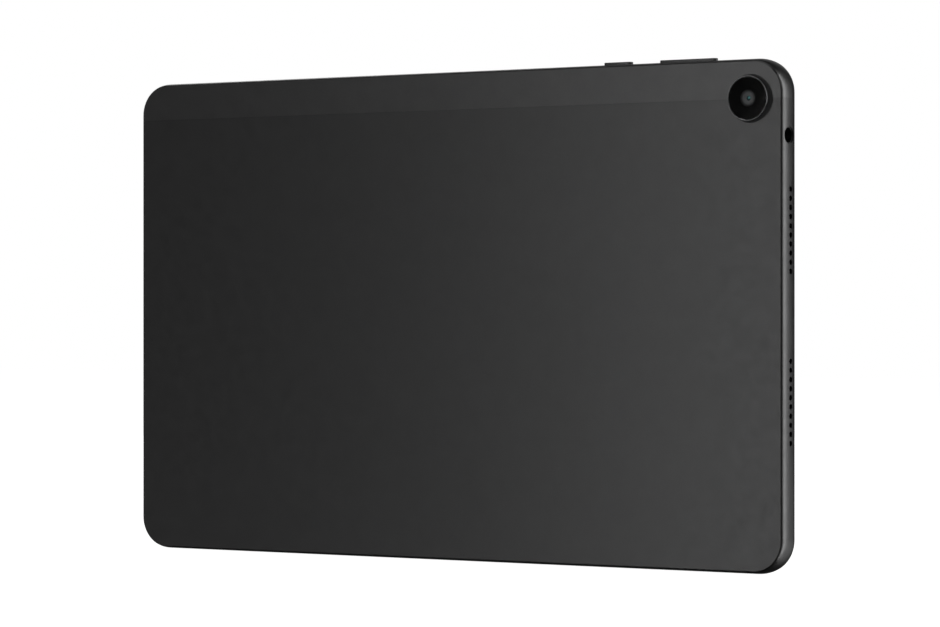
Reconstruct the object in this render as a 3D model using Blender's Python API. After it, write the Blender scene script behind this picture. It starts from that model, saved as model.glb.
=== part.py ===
"""A 10.4-inch tablet computer, modelled as the separate pieces it is put together from.

The tablet stands upright on one long edge: X runs along that edge, +Z is up, the screen faces -Y
and the back faces +Y. The origin is the middle of the bottom edge at half the thickness. Sizes are
in millimetres, and every mesh is scaled to metres as it is made. A depth is a distance in from the
back face, and an inset is a distance in from the outline of the body.
"""

import math

import bmesh
import bpy
from mathutils import Vector

MM = 0.001
GAP = 0.3
MERGE_DISTANCE = 0.000001

# Body
WIDTH = 246.94
HEIGHT = 156.70
THICKNESS = 7.85
CORNER_RADIUS = 10.5
CORNER_STEPS = 7
HALF_WIDTH = WIDTH / 2
HALF_THICKNESS = THICKNESS / 2
MIDDLE_Z = HEIGHT / 2

# Section of the rim: a quarter ellipse at the back, a flat and a small quarter ellipse in front
BACK_CURVE_INSET = 1.09
BACK_CURVE_DEPTH = 4.7
BACK_CURVE_ANGLES = (0, 10, 20, 32, 45, 60)
EDGE_FLAT_START = 3.3
FRONT_CURVE_INSET = 0.58
FRONT_CURVE_DEPTH = 1.08
FRONT_CURVE_ANGLES = (0, 28, 54)
WALL_INSET = 2.3
LEDGE_DEPTH = 6.3
LIP_INSET = 1.0
FLOOR_DEPTH = 0.9
FLOOR_CHAMFER = 0.6
SEAM_Z = 144.3

# Ports, buttons and the rear camera
SPEAKER_HOLES = 10
SPEAKER_HOLE_RADIUS = 0.75
SPEAKER_HOLE_PITCH = 2.765
SPEAKER_HOLE_DEPTH = 4.6
SPEAKER_OFFSET = 26.05
JACK_Z = 133.15
JACK_DEPTH = 3.3
JACK_HOLE_RADIUS = 2.1
JACK_DISH_RADIUS = 2.58
JACK_BORE_RADIUS = 1.8
JACK_BACK_X = -107.5
USB_DEPTH = 3.5
USB_OPENING = (9.0, 3.2)
USB_BACK_X = 112.6
TRAY_Z = 131.0
TRAY_DOOR = (13.5, 2.2)
TRAY_DEPTH = 2.4
MICROPHONE_Z = 70.5
MICROPHONE_DEPTH = 2.6
POWER_X = -63.1
POWER_LENGTH = 10.1
VOLUME_X = -88.3
VOLUME_LENGTH = 20.2
VOLUME_PRESS_X = 6.5
BUTTON_WIDTH = 2.2
BUTTON_HEIGHT = 0.7
CAMERA_X = -112.1
CAMERA_Z = 144.4
CAMERA_BASE_RADIUS = 7.4
CAMERA_RIM_RADIUS = 6.9
CAMERA_HEIGHT = 2.0
CAMERA_BARREL_RADIUS = 2.55
CAMERA_MODULE_SIZE = 8.6
FRONT_CAMERA_Z = 150.4
FRONT_CAMERA_SIZE = 5.2

# Depths of the layers behind the cover glass
GLASS_DEPTH = 7.1
PANEL_DEPTHS = (6.4, 6.85)
GUIDE_DEPTHS = (5.8, 6.2)
PAN_DEPTHS = (5.4, 6.85)
CHASSIS_DEPTHS = (4.3, 4.6)
BOARD_DEPTHS = (3.4, 4.0)
CHIP_DEPTHS = (2.1, 3.1)
PAN_BOX = (-115.9, 115.9, 6.4, 147.4)
FLEX_X = (-48.0, -24.0)

# Pieces on the boards: low x, high x, low z, high z
MAINBOARD_BOX = (-105.5, 40.0, 112.0, 147.0)
SHIELD_BOXES = {
    "processor_shield": (-72, -30, 114, 136),
    "power_shield": (-98, -77, 117, 142),
    "radio_shield": (-16, 8, 120, 145),
}
SHIELD_TOP = 1.4
SHEET_METAL = 0.2
CHIP_BOXES = {
    "processor": (-68, -54, 118, 132),
    "memory_chip": (-50, -37, 119, 131),
    "storage_chip": (14, 26, 121, 134),
}
USB_BOARD_X = (93.0, 119.5)
USB_BOARD_Z = (67.6, 141.0)
SPEAKER_BACK_X = 108.0
SPEAKER_LENGTH = 30.0
SPEAKER_NOSE_X = HALF_WIDTH - 3.1

# Screws: x and z of each, and the (radius, depth) points of one
MAINBOARD_SCREWS = ((-102.5, 115.5), (-102.5, 143.5), (-20.5, 143.8), (36.5, 115.5), (36.5, 143.5))
USB_BOARD_SCREWS = ((97.0, 71.5), (100.0, 100.0), (97.0, 137.5))
SCREW_SECTION = ((1.2, 2.6), (1.5, 2.75), (1.5, 3.1), (0.62, 3.1), (0.62, 4.7), (0.45, 4.8))
SCREW_HOLE_RADIUS = 0.95

# Battery cells: low x of each, their length, and their low and high z
CELLS = {"battery_cell_1": -102.0, "battery_cell_2": -4.0}
CELL_LENGTH = 94.0
CELL_Z = (8.0, 105.0)

# Thin pieces: low x, high x, low z, high z, near depth, far depth
THIN_PIECES = {
    "graphite_sheet": ("graphite", (-85, 20, 30, 125, 4.9, 5.1)),
    "battery_protection_board": ("circuit_board", (-55, 45, 106, 110.5, 2.4, 3.2)),
    "battery_lead": ("flex_copper", (-26, -18, 107, 115.5, 1.9, 2.05)),
    "board_flex": ("flex_copper", (28, 100, 124, 132, 2.85, 3.0)),
    "wifi_antenna": ("flex_copper", (48, 92, 146.5, 152.5, 1.2, 1.45)),
    "location_antenna": ("flex_copper", (-14, 30, 148.0, 153.0, 1.2, 1.45)),
    "light_sensor": ("chip", (10.5, 13.5, 149.4, 151.4, 4.95, 6.6)),
    "key_bracket": ("sheet_steel", (-100.5, -55.5, 151.0, 151.4, 2.7, 5.15)),
}

# Colour, roughness and metallic value of each material
FINISHES = {
    "anodised_aluminium": ((0.052, 0.053, 0.055), 0.42, 1.0),
    "band_plastic": ((0.058, 0.059, 0.061), 0.48, 0.0),
    "bezel_plastic": ((0.012, 0.012, 0.013), 0.4, 0.0),
    "screen_glass": ((0.004, 0.004, 0.005), 0.05, 0.0),
    "panel": ((0.02, 0.021, 0.024), 0.3, 0.0),
    "light_guide": ((0.75, 0.77, 0.8), 0.2, 0.0),
    "sheet_steel": ((0.55, 0.56, 0.57), 0.3, 1.0),
    "magnesium": ((0.32, 0.33, 0.34), 0.5, 1.0),
    "circuit_board": ((0.01, 0.06, 0.045), 0.5, 0.0),
    "chip": ((0.015, 0.015, 0.017), 0.45, 0.0),
    "battery_foil": ((0.03, 0.03, 0.033), 0.4, 0.3),
    "flex_copper": ((0.28, 0.13, 0.03), 0.45, 0.0),
    "black_plastic": ((0.01, 0.01, 0.011), 0.55, 0.0),
    "graphite": ((0.03, 0.03, 0.032), 0.6, 0.2),
    "camera_metal": ((0.16, 0.165, 0.17), 0.22, 1.0),
    "lens_glass": ((0.01, 0.05, 0.06), 0.05, 0.0),
    "mesh_fabric": ((0.02, 0.02, 0.02), 0.8, 0.0),
    "screw_steel": ((0.25, 0.25, 0.26), 0.3, 1.0),
}


def clear_scene():
    """Remove every object of the start-up scene."""
    for item in list(bpy.data.objects):
        bpy.data.objects.remove(item, do_unlink=True)


def material(finish):
    """Return the material of a finish, made the first time it is asked for."""
    known = bpy.data.materials.get(finish)
    if known:
        return known
    colour, roughness, metallic = FINISHES[finish]
    made = bpy.data.materials.new(finish)
    made.use_nodes = True
    shader = made.node_tree.nodes["Principled BSDF"]
    shader.inputs["Base Color"].default_value = (*colour, 1.0)
    shader.inputs["Roughness"].default_value = roughness
    shader.inputs["Metallic"].default_value = metallic
    return made


def y_at(depth):
    """Return the y of a depth below the back face."""
    return HALF_THICKNESS - depth


# Outlines are lists of 2-D points, and a ring is an outline put at a place along one axis.


def rectangle(low_u, high_u, low_v, high_v):
    """Return the outline of a rectangle."""
    return [(low_u, low_v), (high_u, low_v), (high_u, high_v), (low_u, high_v)]


def rounded(low_u, high_u, low_v, high_v, radius, steps=3):
    """Return the outline of a rectangle with round corners."""
    corners = (
        (high_u - radius, low_v + radius, -90),
        (high_u - radius, high_v - radius, 0),
        (low_u + radius, high_v - radius, 90),
        (low_u + radius, low_v + radius, 180),
    )
    points = []
    for centre_u, centre_v, start in corners:
        for step in range(steps + 1):
            angle = math.radians(start + 90 * step / steps)
            points.append((centre_u + radius * math.cos(angle), centre_v + radius * math.sin(angle)))
    return points


def disc(centre_u, centre_v, radius, steps=3):
    """Return a circle with the same number of points as a rounded rectangle of equal steps."""
    edges = (centre_u - radius, centre_u + radius, centre_v - radius, centre_v + radius)
    return rounded(*edges, radius, steps)


def circle(centre_u, centre_v, radius, points):
    """Return a circle with a stated number of points."""
    turns = [2 * math.pi * i / points for i in range(points)]
    return [(centre_u + radius * math.cos(a), centre_v + radius * math.sin(a)) for a in turns]


def ring_x(outline, x):
    """Put an outline of (y, z) points at x."""
    return [(x, y, z) for y, z in outline]


def ring_y(outline, depth):
    """Put an outline of (x, z) points at a depth below the back face."""
    return [(x, y_at(depth), z) for x, z in outline]


def ring_z(outline, z):
    """Put an outline of (x, y) points at z."""
    return [(x, y, z) for x, y in outline]


def body_ring(inset, depth):
    """Return the body's outline, moved in by an inset, at a depth below the back face."""
    low_x, high_x = inset - HALF_WIDTH, HALF_WIDTH - inset
    outline = rounded(low_x, high_x, inset, HEIGHT - inset, CORNER_RADIUS - inset, CORNER_STEPS)
    return ring_y(outline, depth)


def add_loft(shape, rings, hollow):
    """Add a skin over a list of rings to a bmesh; a hollow one joins its last ring to its first."""
    rows = [[shape.verts.new(Vector(p) * MM) for p in ring] for ring in rings]
    count = len(rows[0])
    pairs = list(zip(rows, rows[1:]))
    if hollow:
        pairs.append((rows[-1], rows[0]))
    for lower, upper in pairs:
        for i in range(count):
            j = (i + 1) % count
            shape.faces.new((lower[i], lower[j], upper[j], upper[i]))
    if not hollow:
        shape.faces.new(rows[0])
        shape.faces.new(rows[-1])


def mesh_of(name, lofts, hollow=False):
    """Return a mesh of closed lofts with its faces turned outward."""
    shape = bmesh.new()
    for rings in lofts:
        add_loft(shape, rings, hollow)
    bmesh.ops.remove_doubles(shape, verts=shape.verts, dist=MERGE_DISTANCE)
    bmesh.ops.dissolve_degenerate(shape, edges=shape.edges, dist=MERGE_DISTANCE)
    bmesh.ops.recalc_face_normals(shape, faces=shape.faces)
    made = bpy.data.meshes.new(name)
    shape.to_mesh(made)
    shape.free()
    return made


def piece(name, finish, rings, hollow=False, origin=(0, 0, 0)):
    """Make one solid piece from rings, with its origin where it turns or slides."""
    mesh = mesh_of(name, [rings], hollow)
    made = bpy.data.objects.new(name, mesh)
    bpy.context.collection.objects.link(made)
    place = Vector(origin) * MM
    for vertex in mesh.vertices:
        vertex.co -= place
    made.location = place
    mesh.materials.append(material(finish))
    mesh.shade_smooth()
    mesh.set_sharp_from_angle(angle=math.radians(30))
    return made


def cut(target, name, *lofts):
    """Cut closed lofts out of a piece with one Boolean."""
    cutter = bpy.data.objects.new(name, mesh_of(name, lofts))
    bpy.context.collection.objects.link(cutter)
    cutter.hide_render = True
    cutter.display_type = "WIRE"
    modifier = target.modifiers.new(name, "BOOLEAN")
    modifier.operation = "DIFFERENCE"
    modifier.object = cutter


def block(low_x, high_x, low_z, high_z, low_depth, high_depth):
    """Return the rings of a box."""
    outline = rectangle(low_x, high_x, low_z, high_z)
    return [ring_y(outline, low_depth), ring_y(outline, high_depth)]


def rod_x(low_x, high_x, depth, z, radius, points):
    """Return the rings of a round bar along X."""
    outline = circle(y_at(depth), z, radius, points)
    return [ring_x(outline, low_x), ring_x(outline, high_x)]


def rod_y(x, z, radius, low_depth, high_depth, points=12):
    """Return the rings of a round bar along Y."""
    outline = circle(x, z, radius, points)
    return [ring_y(outline, low_depth), ring_y(outline, high_depth)]


def pressed_pan(box, floor, rim):
    """Return the rings of a sheet-metal pan, closed at its floor and open at its rim."""
    low_x, high_x, low_z, high_z = box
    wall = SHEET_METAL
    outside = rectangle(*box)
    inside = rectangle(low_x + wall, high_x - wall, low_z + wall, high_z - wall)
    rings = [ring_y(inside, floor + wall), ring_y(inside, rim)]
    return [*rings, ring_y(outside, rim), ring_y(outside, floor)]


def turned_y(x, z, section, points):
    """Return the rings of a piece turned about a line along Y from (radius, depth) points."""
    return [ring_y(circle(x, z, radius, points), depth) for radius, depth in section]


# Casing


def casing_section():
    """Return (inset, depth) points from the inner floor, over the rim, to the outer back."""
    section = [
        (WALL_INSET + FLOOR_CHAMFER, FLOOR_DEPTH),
        (WALL_INSET, FLOOR_DEPTH + FLOOR_CHAMFER),
        (WALL_INSET, LEDGE_DEPTH),
        (LIP_INSET, LEDGE_DEPTH),
    ]
    front_start = THICKNESS - FRONT_CURVE_DEPTH
    front = []
    for degrees in FRONT_CURVE_ANGLES:
        angle = math.radians(degrees)
        inset = FRONT_CURVE_INSET * (1 - math.cos(angle))
        front.append((inset, front_start + FRONT_CURVE_DEPTH * math.sin(angle)))
    section.append((LIP_INSET, front[-1][1]))
    section += reversed(front)
    section.append((0, EDGE_FLAT_START))
    for degrees in reversed(BACK_CURVE_ANGLES):
        angle = math.radians(degrees)
        inset = BACK_CURVE_INSET * (1 - math.sin(angle))
        section.append((inset, BACK_CURVE_DEPTH * (1 - math.cos(angle))))
    return section


def keep_side(target, cut_z, keep_above):
    """Cut a casing along a level plane, keep one side and close it."""
    shape = bmesh.new()
    shape.from_mesh(target.data)
    result = bmesh.ops.bisect_plane(
        shape,
        geom=shape.verts[:] + shape.edges[:] + shape.faces[:],
        plane_co=(0, 0, cut_z * MM),
        plane_no=(0, 0, 1),
        clear_inner=keep_above,
        clear_outer=not keep_above,
    )
    rim = [item for item in result["geom_cut"] if isinstance(item, bmesh.types.BMEdge)]
    bmesh.ops.edgeloop_fill(shape, edges=rim)
    bmesh.ops.recalc_face_normals(shape, faces=shape.faces)
    shape.to_mesh(target.data)
    shape.free()


def speaker_hole_lofts(side):
    """Return the drilled holes of both speaker groups on one short side."""
    lofts = []
    for group in (-1, 1):
        for i in range(SPEAKER_HOLES):
            offset = (i - (SPEAKER_HOLES - 1) / 2) * SPEAKER_HOLE_PITCH
            z = MIDDLE_Z + group * SPEAKER_OFFSET + offset
            ends = sorted((side * (HALF_WIDTH - WALL_INSET - 1), side * (HALF_WIDTH + 1)))
            lofts.append(rod_x(*ends, SPEAKER_HOLE_DEPTH, z, SPEAKER_HOLE_RADIUS, 10))
    return lofts


def jack_hole_loft():
    """Return the headphone hole with its shallow dish."""
    wall = HALF_WIDTH - WALL_INSET - 1
    steps = ((wall, JACK_HOLE_RADIUS), (HALF_WIDTH - 0.3, JACK_HOLE_RADIUS))
    steps += ((HALF_WIDTH, JACK_DISH_RADIUS), (HALF_WIDTH + 1, JACK_DISH_RADIUS))
    return [ring_x(circle(y_at(JACK_DEPTH), JACK_Z, radius, 20), -x) for x, radius in steps]


def slot_x(length, height, depth, z):
    """Return a round-ended slot through the +X wall."""
    low_y, high_y = y_at(depth) - height / 2, y_at(depth) + height / 2
    outline = rounded(low_y, high_y, z - length / 2, z + length / 2, height / 2 - 0.01)
    return [ring_x(outline, HALF_WIDTH - WALL_INSET - 1), ring_x(outline, HALF_WIDTH + 1)]


def button_outline(x, length, grow=0.0):
    """Return the round-ended outline of a button on the top edge, made larger by grow."""
    half_length, half_width = length / 2 + grow, BUTTON_WIDTH / 2 + grow
    return rounded(x - half_length, x + half_length, -half_width, half_width, half_width - 0.01)


def button_hole(x, length):
    """Return the hole for a button through the top wall."""
    outline = button_outline(x, length, GAP)
    return [ring_z(outline, HEIGHT - WALL_INSET - 1), ring_z(outline, HEIGHT + 1)]


def camera_hole():
    """Return the round hole for the rear camera through the back."""
    return rod_y(CAMERA_X, CAMERA_Z, CAMERA_BASE_RADIUS + GAP, -1, FLOOR_DEPTH + 1, 28)


def build_rear_housing():
    """The machined aluminium back with its side walls, below the band."""
    section = casing_section()
    made = piece("rear_housing", "anodised_aluminium", [body_ring(*point) for point in section])
    keep_side(made, SEAM_Z - GAP / 2, False)
    door_length, door_height = TRAY_DOOR
    slots = [
        slot_x(*USB_OPENING, USB_DEPTH, MIDDLE_Z),
        slot_x(door_length + 2 * GAP, door_height + 2 * GAP, TRAY_DEPTH, TRAY_Z),
    ]
    wall = HALF_WIDTH - WALL_INSET - 1
    slots.append(rod_x(wall, HALF_WIDTH + 1, MICROPHONE_DEPTH, MICROPHONE_Z, 0.5, 10))
    holes = speaker_hole_lofts(-1) + speaker_hole_lofts(1)
    cut(made, "port_cutter", *slots, *holes, jack_hole_loft(), camera_hole())


def build_antenna_cover():
    """The plastic band along the top, which radio passes through."""
    section = casing_section()
    made = piece("antenna_cover", "band_plastic", [body_ring(*point) for point in section])
    keep_side(made, SEAM_Z + GAP / 2, True)
    holes = [button_hole(POWER_X, POWER_LENGTH), button_hole(VOLUME_X, VOLUME_LENGTH)]
    cut(made, "band_cutter", *holes, camera_hole())


def build_bezel_frame():
    """The plastic ring that the cover glass lies in."""
    outer, inner, edge = LIP_INSET + GAP, 1.9, 4.2
    low, shelf, high = LEDGE_DEPTH + GAP, LEDGE_DEPTH + GAP + 0.2, 7.7
    section = ((outer, low), (outer, high), (inner, high), (inner, shelf), (edge, shelf), (edge, low))
    rings = [body_ring(*point) for point in section]
    piece("bezel_frame", "bezel_plastic", rings, hollow=True)


# Display


def build_display():
    """Cover glass, liquid crystal panel, light guide, lamp strip and the pan that holds them."""
    glass = ((2.2, GLASS_DEPTH), (2.2, 7.7), (2.4, THICKNESS))
    piece("cover_glass", "screen_glass", [body_ring(*point) for point in glass])
    low_x, high_x, low_z, high_z = PAN_BOX
    side = 0.6
    layer = (low_x + side, high_x - side, low_z + side, high_z - side)
    piece("lcd_panel", "panel", block(*layer, *PANEL_DEPTHS))
    lamp_top = low_z + side + 3.0
    guide = (low_x + side, high_x - side, lamp_top + GAP, high_z - side)
    piece("light_guide", "light_guide", block(*guide, *GUIDE_DEPTHS))
    lamps = (low_x + 3, high_x - 3, low_z + side, lamp_top)
    piece("backlight_led_strip", "circuit_board", block(*lamps, *GUIDE_DEPTHS))
    pan_floor, pan_rim = PAN_DEPTHS
    piece("backlight_pan", "sheet_steel", pressed_pan(PAN_BOX, pan_floor, pan_rim))


# Frame inside


def speaker_places():
    """Return the name, side and middle z of each speaker."""
    places = []
    for side, side_name in ((-1, "jack_side"), (1, "usb_side")):
        for group, level in ((1, "upper"), (-1, "lower")):
            places.append((f"{side_name}_{level}", side, MIDDLE_Z + group * SPEAKER_OFFSET))
    return places


def chassis_notches():
    """Return the openings in the chassis plate for the pieces that are deeper than it."""
    low, high = CHASSIS_DEPTHS[0] - 1, CHASSIS_DEPTHS[1] + 1
    notches = []
    outside = HALF_WIDTH + 1
    half_speaker = SPEAKER_LENGTH / 2 + 0.4
    for _, side, z in speaker_places():
        ends = sorted((side * (SPEAKER_BACK_X - 0.4), side * outside))
        notches.append(block(*ends, z - half_speaker, z + half_speaker, low, high))
    half_camera, half_front = CAMERA_MODULE_SIZE / 2 + 0.4, FRONT_CAMERA_SIZE / 2 + 0.5
    camera = (CAMERA_X - half_camera, CAMERA_X + half_camera)
    camera += (CAMERA_Z - half_camera, CAMERA_Z + half_camera)
    front_z = (FRONT_CAMERA_Z - half_front, FRONT_CAMERA_Z + half_front)
    jack = (-outside, JACK_BACK_X + 0.4, JACK_Z - 3.5, JACK_Z + 3.5)
    port = (USB_BACK_X - 0.4, outside, MIDDLE_Z - 5.0, MIDDLE_Z + 5.0)
    keys = (-101.5, -54.5, 150.6, HEIGHT + 1)
    flex = (FLEX_X[0] - 1, FLEX_X[1] + 1, 147.5, 149.5)
    for box in (camera, (-half_front, half_front, *front_z), jack, port, keys, flex):
        notches.append(block(*box, low, high))
    for x, z in MAINBOARD_SCREWS + USB_BOARD_SCREWS:
        notches.append(rod_y(x, z, SCREW_HOLE_RADIUS, low, high, 8))
    return notches


def build_chassis():
    """The magnesium plate that carries the display on one side and the boards on the other."""
    inset = WALL_INSET + GAP
    made = piece("chassis_plate", "magnesium", [body_ring(inset, d) for d in CHASSIS_DEPTHS])
    cut(made, "chassis_cutter", *chassis_notches())


# Boards


def build_screws(board, places):
    """Pan-headed screws through a board into the chassis plate."""
    for number, (x, z) in enumerate(places, 1):
        piece(f"{board}_screw_{number}", "screw_steel", turned_y(x, z, SCREW_SECTION, 10))


def drill_board(board, places):
    """Drill a board where its screws go through it."""
    low, high = BOARD_DEPTHS
    holes = [rod_y(x, z, SCREW_HOLE_RADIUS, low - 1, high + 1, 8) for x, z in places]
    cut(board, board.name + "_cutter", *holes)


def build_mainboard():
    """The main board with its chips, their shields and its screws."""
    made = piece("mainboard", "circuit_board", block(*MAINBOARD_BOX, *BOARD_DEPTHS))
    drill_board(made, MAINBOARD_SCREWS)
    build_screws("mainboard", MAINBOARD_SCREWS)
    for name, box in SHIELD_BOXES.items():
        piece(name, "sheet_steel", pressed_pan(box, SHIELD_TOP, CHIP_DEPTHS[1]))
    for name, box in CHIP_BOXES.items():
        piece(name, "chip", block(*box, *CHIP_DEPTHS))


def build_usb_board():
    """The small board on the other side, with the charging port, microphone and card reader."""
    (low_x, edge), (low_z, high_z) = USB_BOARD_X, USB_BOARD_Z
    port_x, port_low, port_high = USB_BACK_X - 0.4, MIDDLE_Z - 4.95, MIDDLE_Z + 4.95
    speaker_x = SPEAKER_BACK_X - 0.6
    speaker_low = MIDDLE_Z + SPEAKER_OFFSET - SPEAKER_LENGTH / 2 - 0.6
    speaker_high = speaker_low + SPEAKER_LENGTH + 1.2
    outline = [
        (low_x, low_z), (edge, low_z), (edge, port_low), (port_x, port_low), (port_x, port_high),
        (edge, port_high), (edge, speaker_low), (speaker_x, speaker_low),
        (speaker_x, speaker_high), (edge, speaker_high), (edge, high_z), (low_x, high_z),
    ]
    made = piece("usb_board", "circuit_board", [ring_y(outline, depth) for depth in BOARD_DEPTHS])
    drill_board(made, USB_BOARD_SCREWS)
    build_screws("usb_board", USB_BOARD_SCREWS)
    microphone = (edge - 3.0, edge, MICROPHONE_Z - 1.3, MICROPHONE_Z + 1.3)
    piece("microphone", "sheet_steel", block(*microphone, *CHIP_DEPTHS))


def build_usb_port():
    """The steel shell of the charging port and the tongue inside it."""
    y, half_length, half_height, wall = y_at(USB_DEPTH), 4.5, 1.6, 0.3

    def outline(grow):
        tall, long = half_height + grow, half_length + grow
        return rounded(y - tall, y + tall, MIDDLE_Z - long, MIDDLE_Z + long, tall - 0.01, 4)

    floor, mouth = USB_BACK_X + 1.2, HALF_WIDTH - WALL_INSET - GAP
    rings = [ring_x(outline(-wall), floor), ring_x(outline(-wall), mouth)]
    rings += [ring_x(outline(0), mouth), ring_x(outline(0), USB_BACK_X)]
    piece("usb_c_shell", "sheet_steel", rings)
    tongue = rectangle(y - 0.35, y + 0.35, MIDDLE_Z - 3.3, MIDDLE_Z + 3.3)
    rings = [ring_x(tongue, floor + GAP), ring_x(tongue, mouth - 1.0)]
    piece("usb_c_tongue", "black_plastic", rings)


def build_headphone_jack():
    """The headphone socket behind the hole in the short side."""
    mouth = WALL_INSET + GAP - HALF_WIDTH
    body = rounded(y_at(5.2), y_at(1.2), JACK_Z - 3.1, JACK_Z + 3.1, 0.3, 4)
    bore = disc(y_at(JACK_DEPTH), JACK_Z, JACK_BORE_RADIUS, 4)
    rings = [ring_x(bore, JACK_BACK_X - 1.0), ring_x(bore, mouth)]
    rings += [ring_x(body, mouth), ring_x(body, JACK_BACK_X)]
    piece("headphone_jack", "black_plastic", rings)


def build_speakers():
    """Four box speakers, each with a nose that reaches the holes and a dust mesh before it."""
    nose, step, back = SPEAKER_NOSE_X, PAN_BOX[1] + 0.4, SPEAKER_BACK_X
    section = [(nose, 1.2), (nose, 5.9), (step, 5.9), (step, 5.1), (back, 5.1), (back, 1.2)]
    half_length = SPEAKER_LENGTH / 2
    for name, side, z in speaker_places():
        base = [(side * x, y_at(depth)) for x, depth in section]
        rings = [ring_z(base, z - half_length), ring_z(base, z + half_length)]
        piece(f"speaker_{name}", "black_plastic", rings)
        ends = sorted((side * (nose + 0.28), side * (nose + 0.5)))
        strip = block(*ends, z - 13.8, z + 13.8, 3.5, 5.6)
        piece(f"speaker_mesh_{name}", "mesh_fabric", strip)


# Card tray


def build_card_reader():
    """The steel cage on the small board that the card tray slides into."""
    y, back, mouth = y_at(2.25), 102.8, 119.8
    outside = rectangle(y - 0.85, y + 0.85, TRAY_Z - 7.1, TRAY_Z + 7.1)
    inside = rectangle(y - 0.62, y + 0.62, TRAY_Z - 6.8, TRAY_Z + 6.8)
    rings = [ring_x(inside, back + 0.3), ring_x(inside, mouth)]
    piece("card_reader", "sheet_steel", [*rings, ring_x(outside, mouth), ring_x(outside, back)])


def build_card_tray():
    """The tray with its door, which pulls straight out of the short side."""
    plate_y, door_y = y_at(2.25), y_at(TRAY_DEPTH)
    half_length, half_height = TRAY_DOOR[0] / 2, TRAY_DOOR[1] / 2

    def door(x):
        edges = (door_y - half_height, door_y + half_height, TRAY_Z - half_length, TRAY_Z + half_length)
        return ring_x(rounded(*edges, half_height - 0.01), x)

    def plate(x):
        return ring_x(rounded(plate_y - 0.3, plate_y + 0.3, TRAY_Z - 6.3, TRAY_Z + 6.3, 0.05), x)

    rings = [plate(103.6), plate(121.5), door(121.5), door(123.15)]
    origin = (121.5, plate_y, TRAY_Z)
    made = piece("card_tray", "anodised_aluminium", rings, origin=origin)
    pocket = block(104.6, 119.0, TRAY_Z - 5.4, TRAY_Z + 5.4, 1.0, 3.5)
    pin_hole = rod_x(122.3, 125.0, TRAY_DEPTH, TRAY_Z - 4.4, 0.45, 8)
    cut(made, "tray_cutter", pocket, pin_hole)


# Battery, lead and thin pieces


def build_battery():
    """Two pouch cells, each with soft edges."""
    low_z, high_z = CELL_Z
    for name, low_x in CELLS.items():
        rings = []
        for shrink, depth in ((0.5, 1.2), (0.0, 1.7), (0.0, 3.5), (0.5, 4.0)):
            edges = (low_x + shrink, low_x + CELL_LENGTH - shrink, low_z + shrink, high_z - shrink)
            rings.append(ring_y(rounded(*edges, 2.5 - shrink), depth))
        piece(name, "battery_foil", rings)


def build_display_flex():
    """The display's lead, folded from the panel's edge back over the main board."""
    fold = [(148.15, 6.6), (148.0, 6.6), (148.0, 3.1), (138.5, 3.1), (138.5, 2.95), (148.15, 2.95)]
    rings = [[(x, y_at(depth), z) for z, depth in fold] for x in FLEX_X]
    piece("display_flex", "flex_copper", rings)


def build_thin_pieces():
    """Sheets, films, the small boards and the key bracket, each a thin block."""
    for name, (finish, box) in THIN_PIECES.items():
        piece(name, finish, block(*box))


# Cameras


def build_rear_camera():
    """The raised camera: its metal surround, window, front lens and module."""
    base, rim, top = CAMERA_BASE_RADIUS, CAMERA_RIM_RADIUS, -CAMERA_HEIGHT
    bore, seat, inner_rim = 2.9, -0.9, 6.5
    surround = (
        (bore, 0.6), (bore, seat), (inner_rim, seat), (inner_rim, top), (rim - 0.05, top),
        (rim + 0.05, top + 0.15), (rim + 0.2, seat), (base, -GAP), (base, 0.6),
    )
    rings = turned_y(CAMERA_X, CAMERA_Z, surround, 28)
    piece("rear_camera_surround", "camera_metal", rings, hollow=True)
    window = rod_y(CAMERA_X, CAMERA_Z, inner_rim - GAP, top + 0.1, seat - GAP, 28)
    piece("rear_camera_window", "screen_glass", window)
    piece("rear_camera_lens", "lens_glass", rod_y(CAMERA_X, CAMERA_Z, 1.0, -0.8, -0.5))
    half = CAMERA_MODULE_SIZE / 2
    edges = (CAMERA_X - half, CAMERA_X + half, CAMERA_Z - half, CAMERA_Z + half)
    body, barrel = rounded(*edges, 0.5, 4), disc(CAMERA_X, CAMERA_Z, CAMERA_BARREL_RADIUS, 4)
    rings = [ring_y(body, 5.0), ring_y(body, 1.2), ring_y(barrel, 1.2), ring_y(barrel, -0.2)]
    piece("rear_camera_module", "black_plastic", rings)


def build_front_camera():
    """The front camera above the screen."""
    half = FRONT_CAMERA_SIZE / 2
    body = rounded(-half, half, FRONT_CAMERA_Z - half, FRONT_CAMERA_Z + half, 0.4, 4)
    barrel = disc(0, FRONT_CAMERA_Z, 1.5, 4)
    rings = [ring_y(body, 4.0), ring_y(body, 6.0), ring_y(barrel, 6.0), ring_y(barrel, 6.8)]
    piece("front_camera", "black_plastic", rings)


# Buttons


def build_button(name, x, length, flange_gap):
    """A key cap through the top wall with a flange that holds it in."""
    inner_face = HEIGHT - WALL_INSET
    flange_top = inner_face - flange_gap
    flange_base = flange_top - 0.5
    crown = HEIGHT + BUTTON_HEIGHT
    cap = button_outline(x, length)
    flange = button_outline(x, length, 0.7)
    rings = [ring_z(flange, flange_base), ring_z(flange, flange_top), ring_z(cap, flange_top)]
    rings += [ring_z(cap, crown - 0.2), ring_z(button_outline(x, length, -0.2), crown)]
    origin = (x, 0, (flange_base + flange_top) / 2)
    piece(name, "anodised_aluminium", rings, origin=origin)


def build_keys():
    """The power and volume keys and their switches."""
    build_button("power_button", POWER_X, POWER_LENGTH, GAP)
    build_button("volume_button", VOLUME_X, VOLUME_LENGTH, 0.45)
    switches = (
        ("power_switch", POWER_X),
        ("volume_up_switch", VOLUME_X - VOLUME_PRESS_X),
        ("volume_down_switch", VOLUME_X + VOLUME_PRESS_X),
    )
    for name, x in switches:
        piece(name, "black_plastic", block(x - 2.0, x + 2.0, 151.7, 152.9, 2.9, 4.95))


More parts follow.
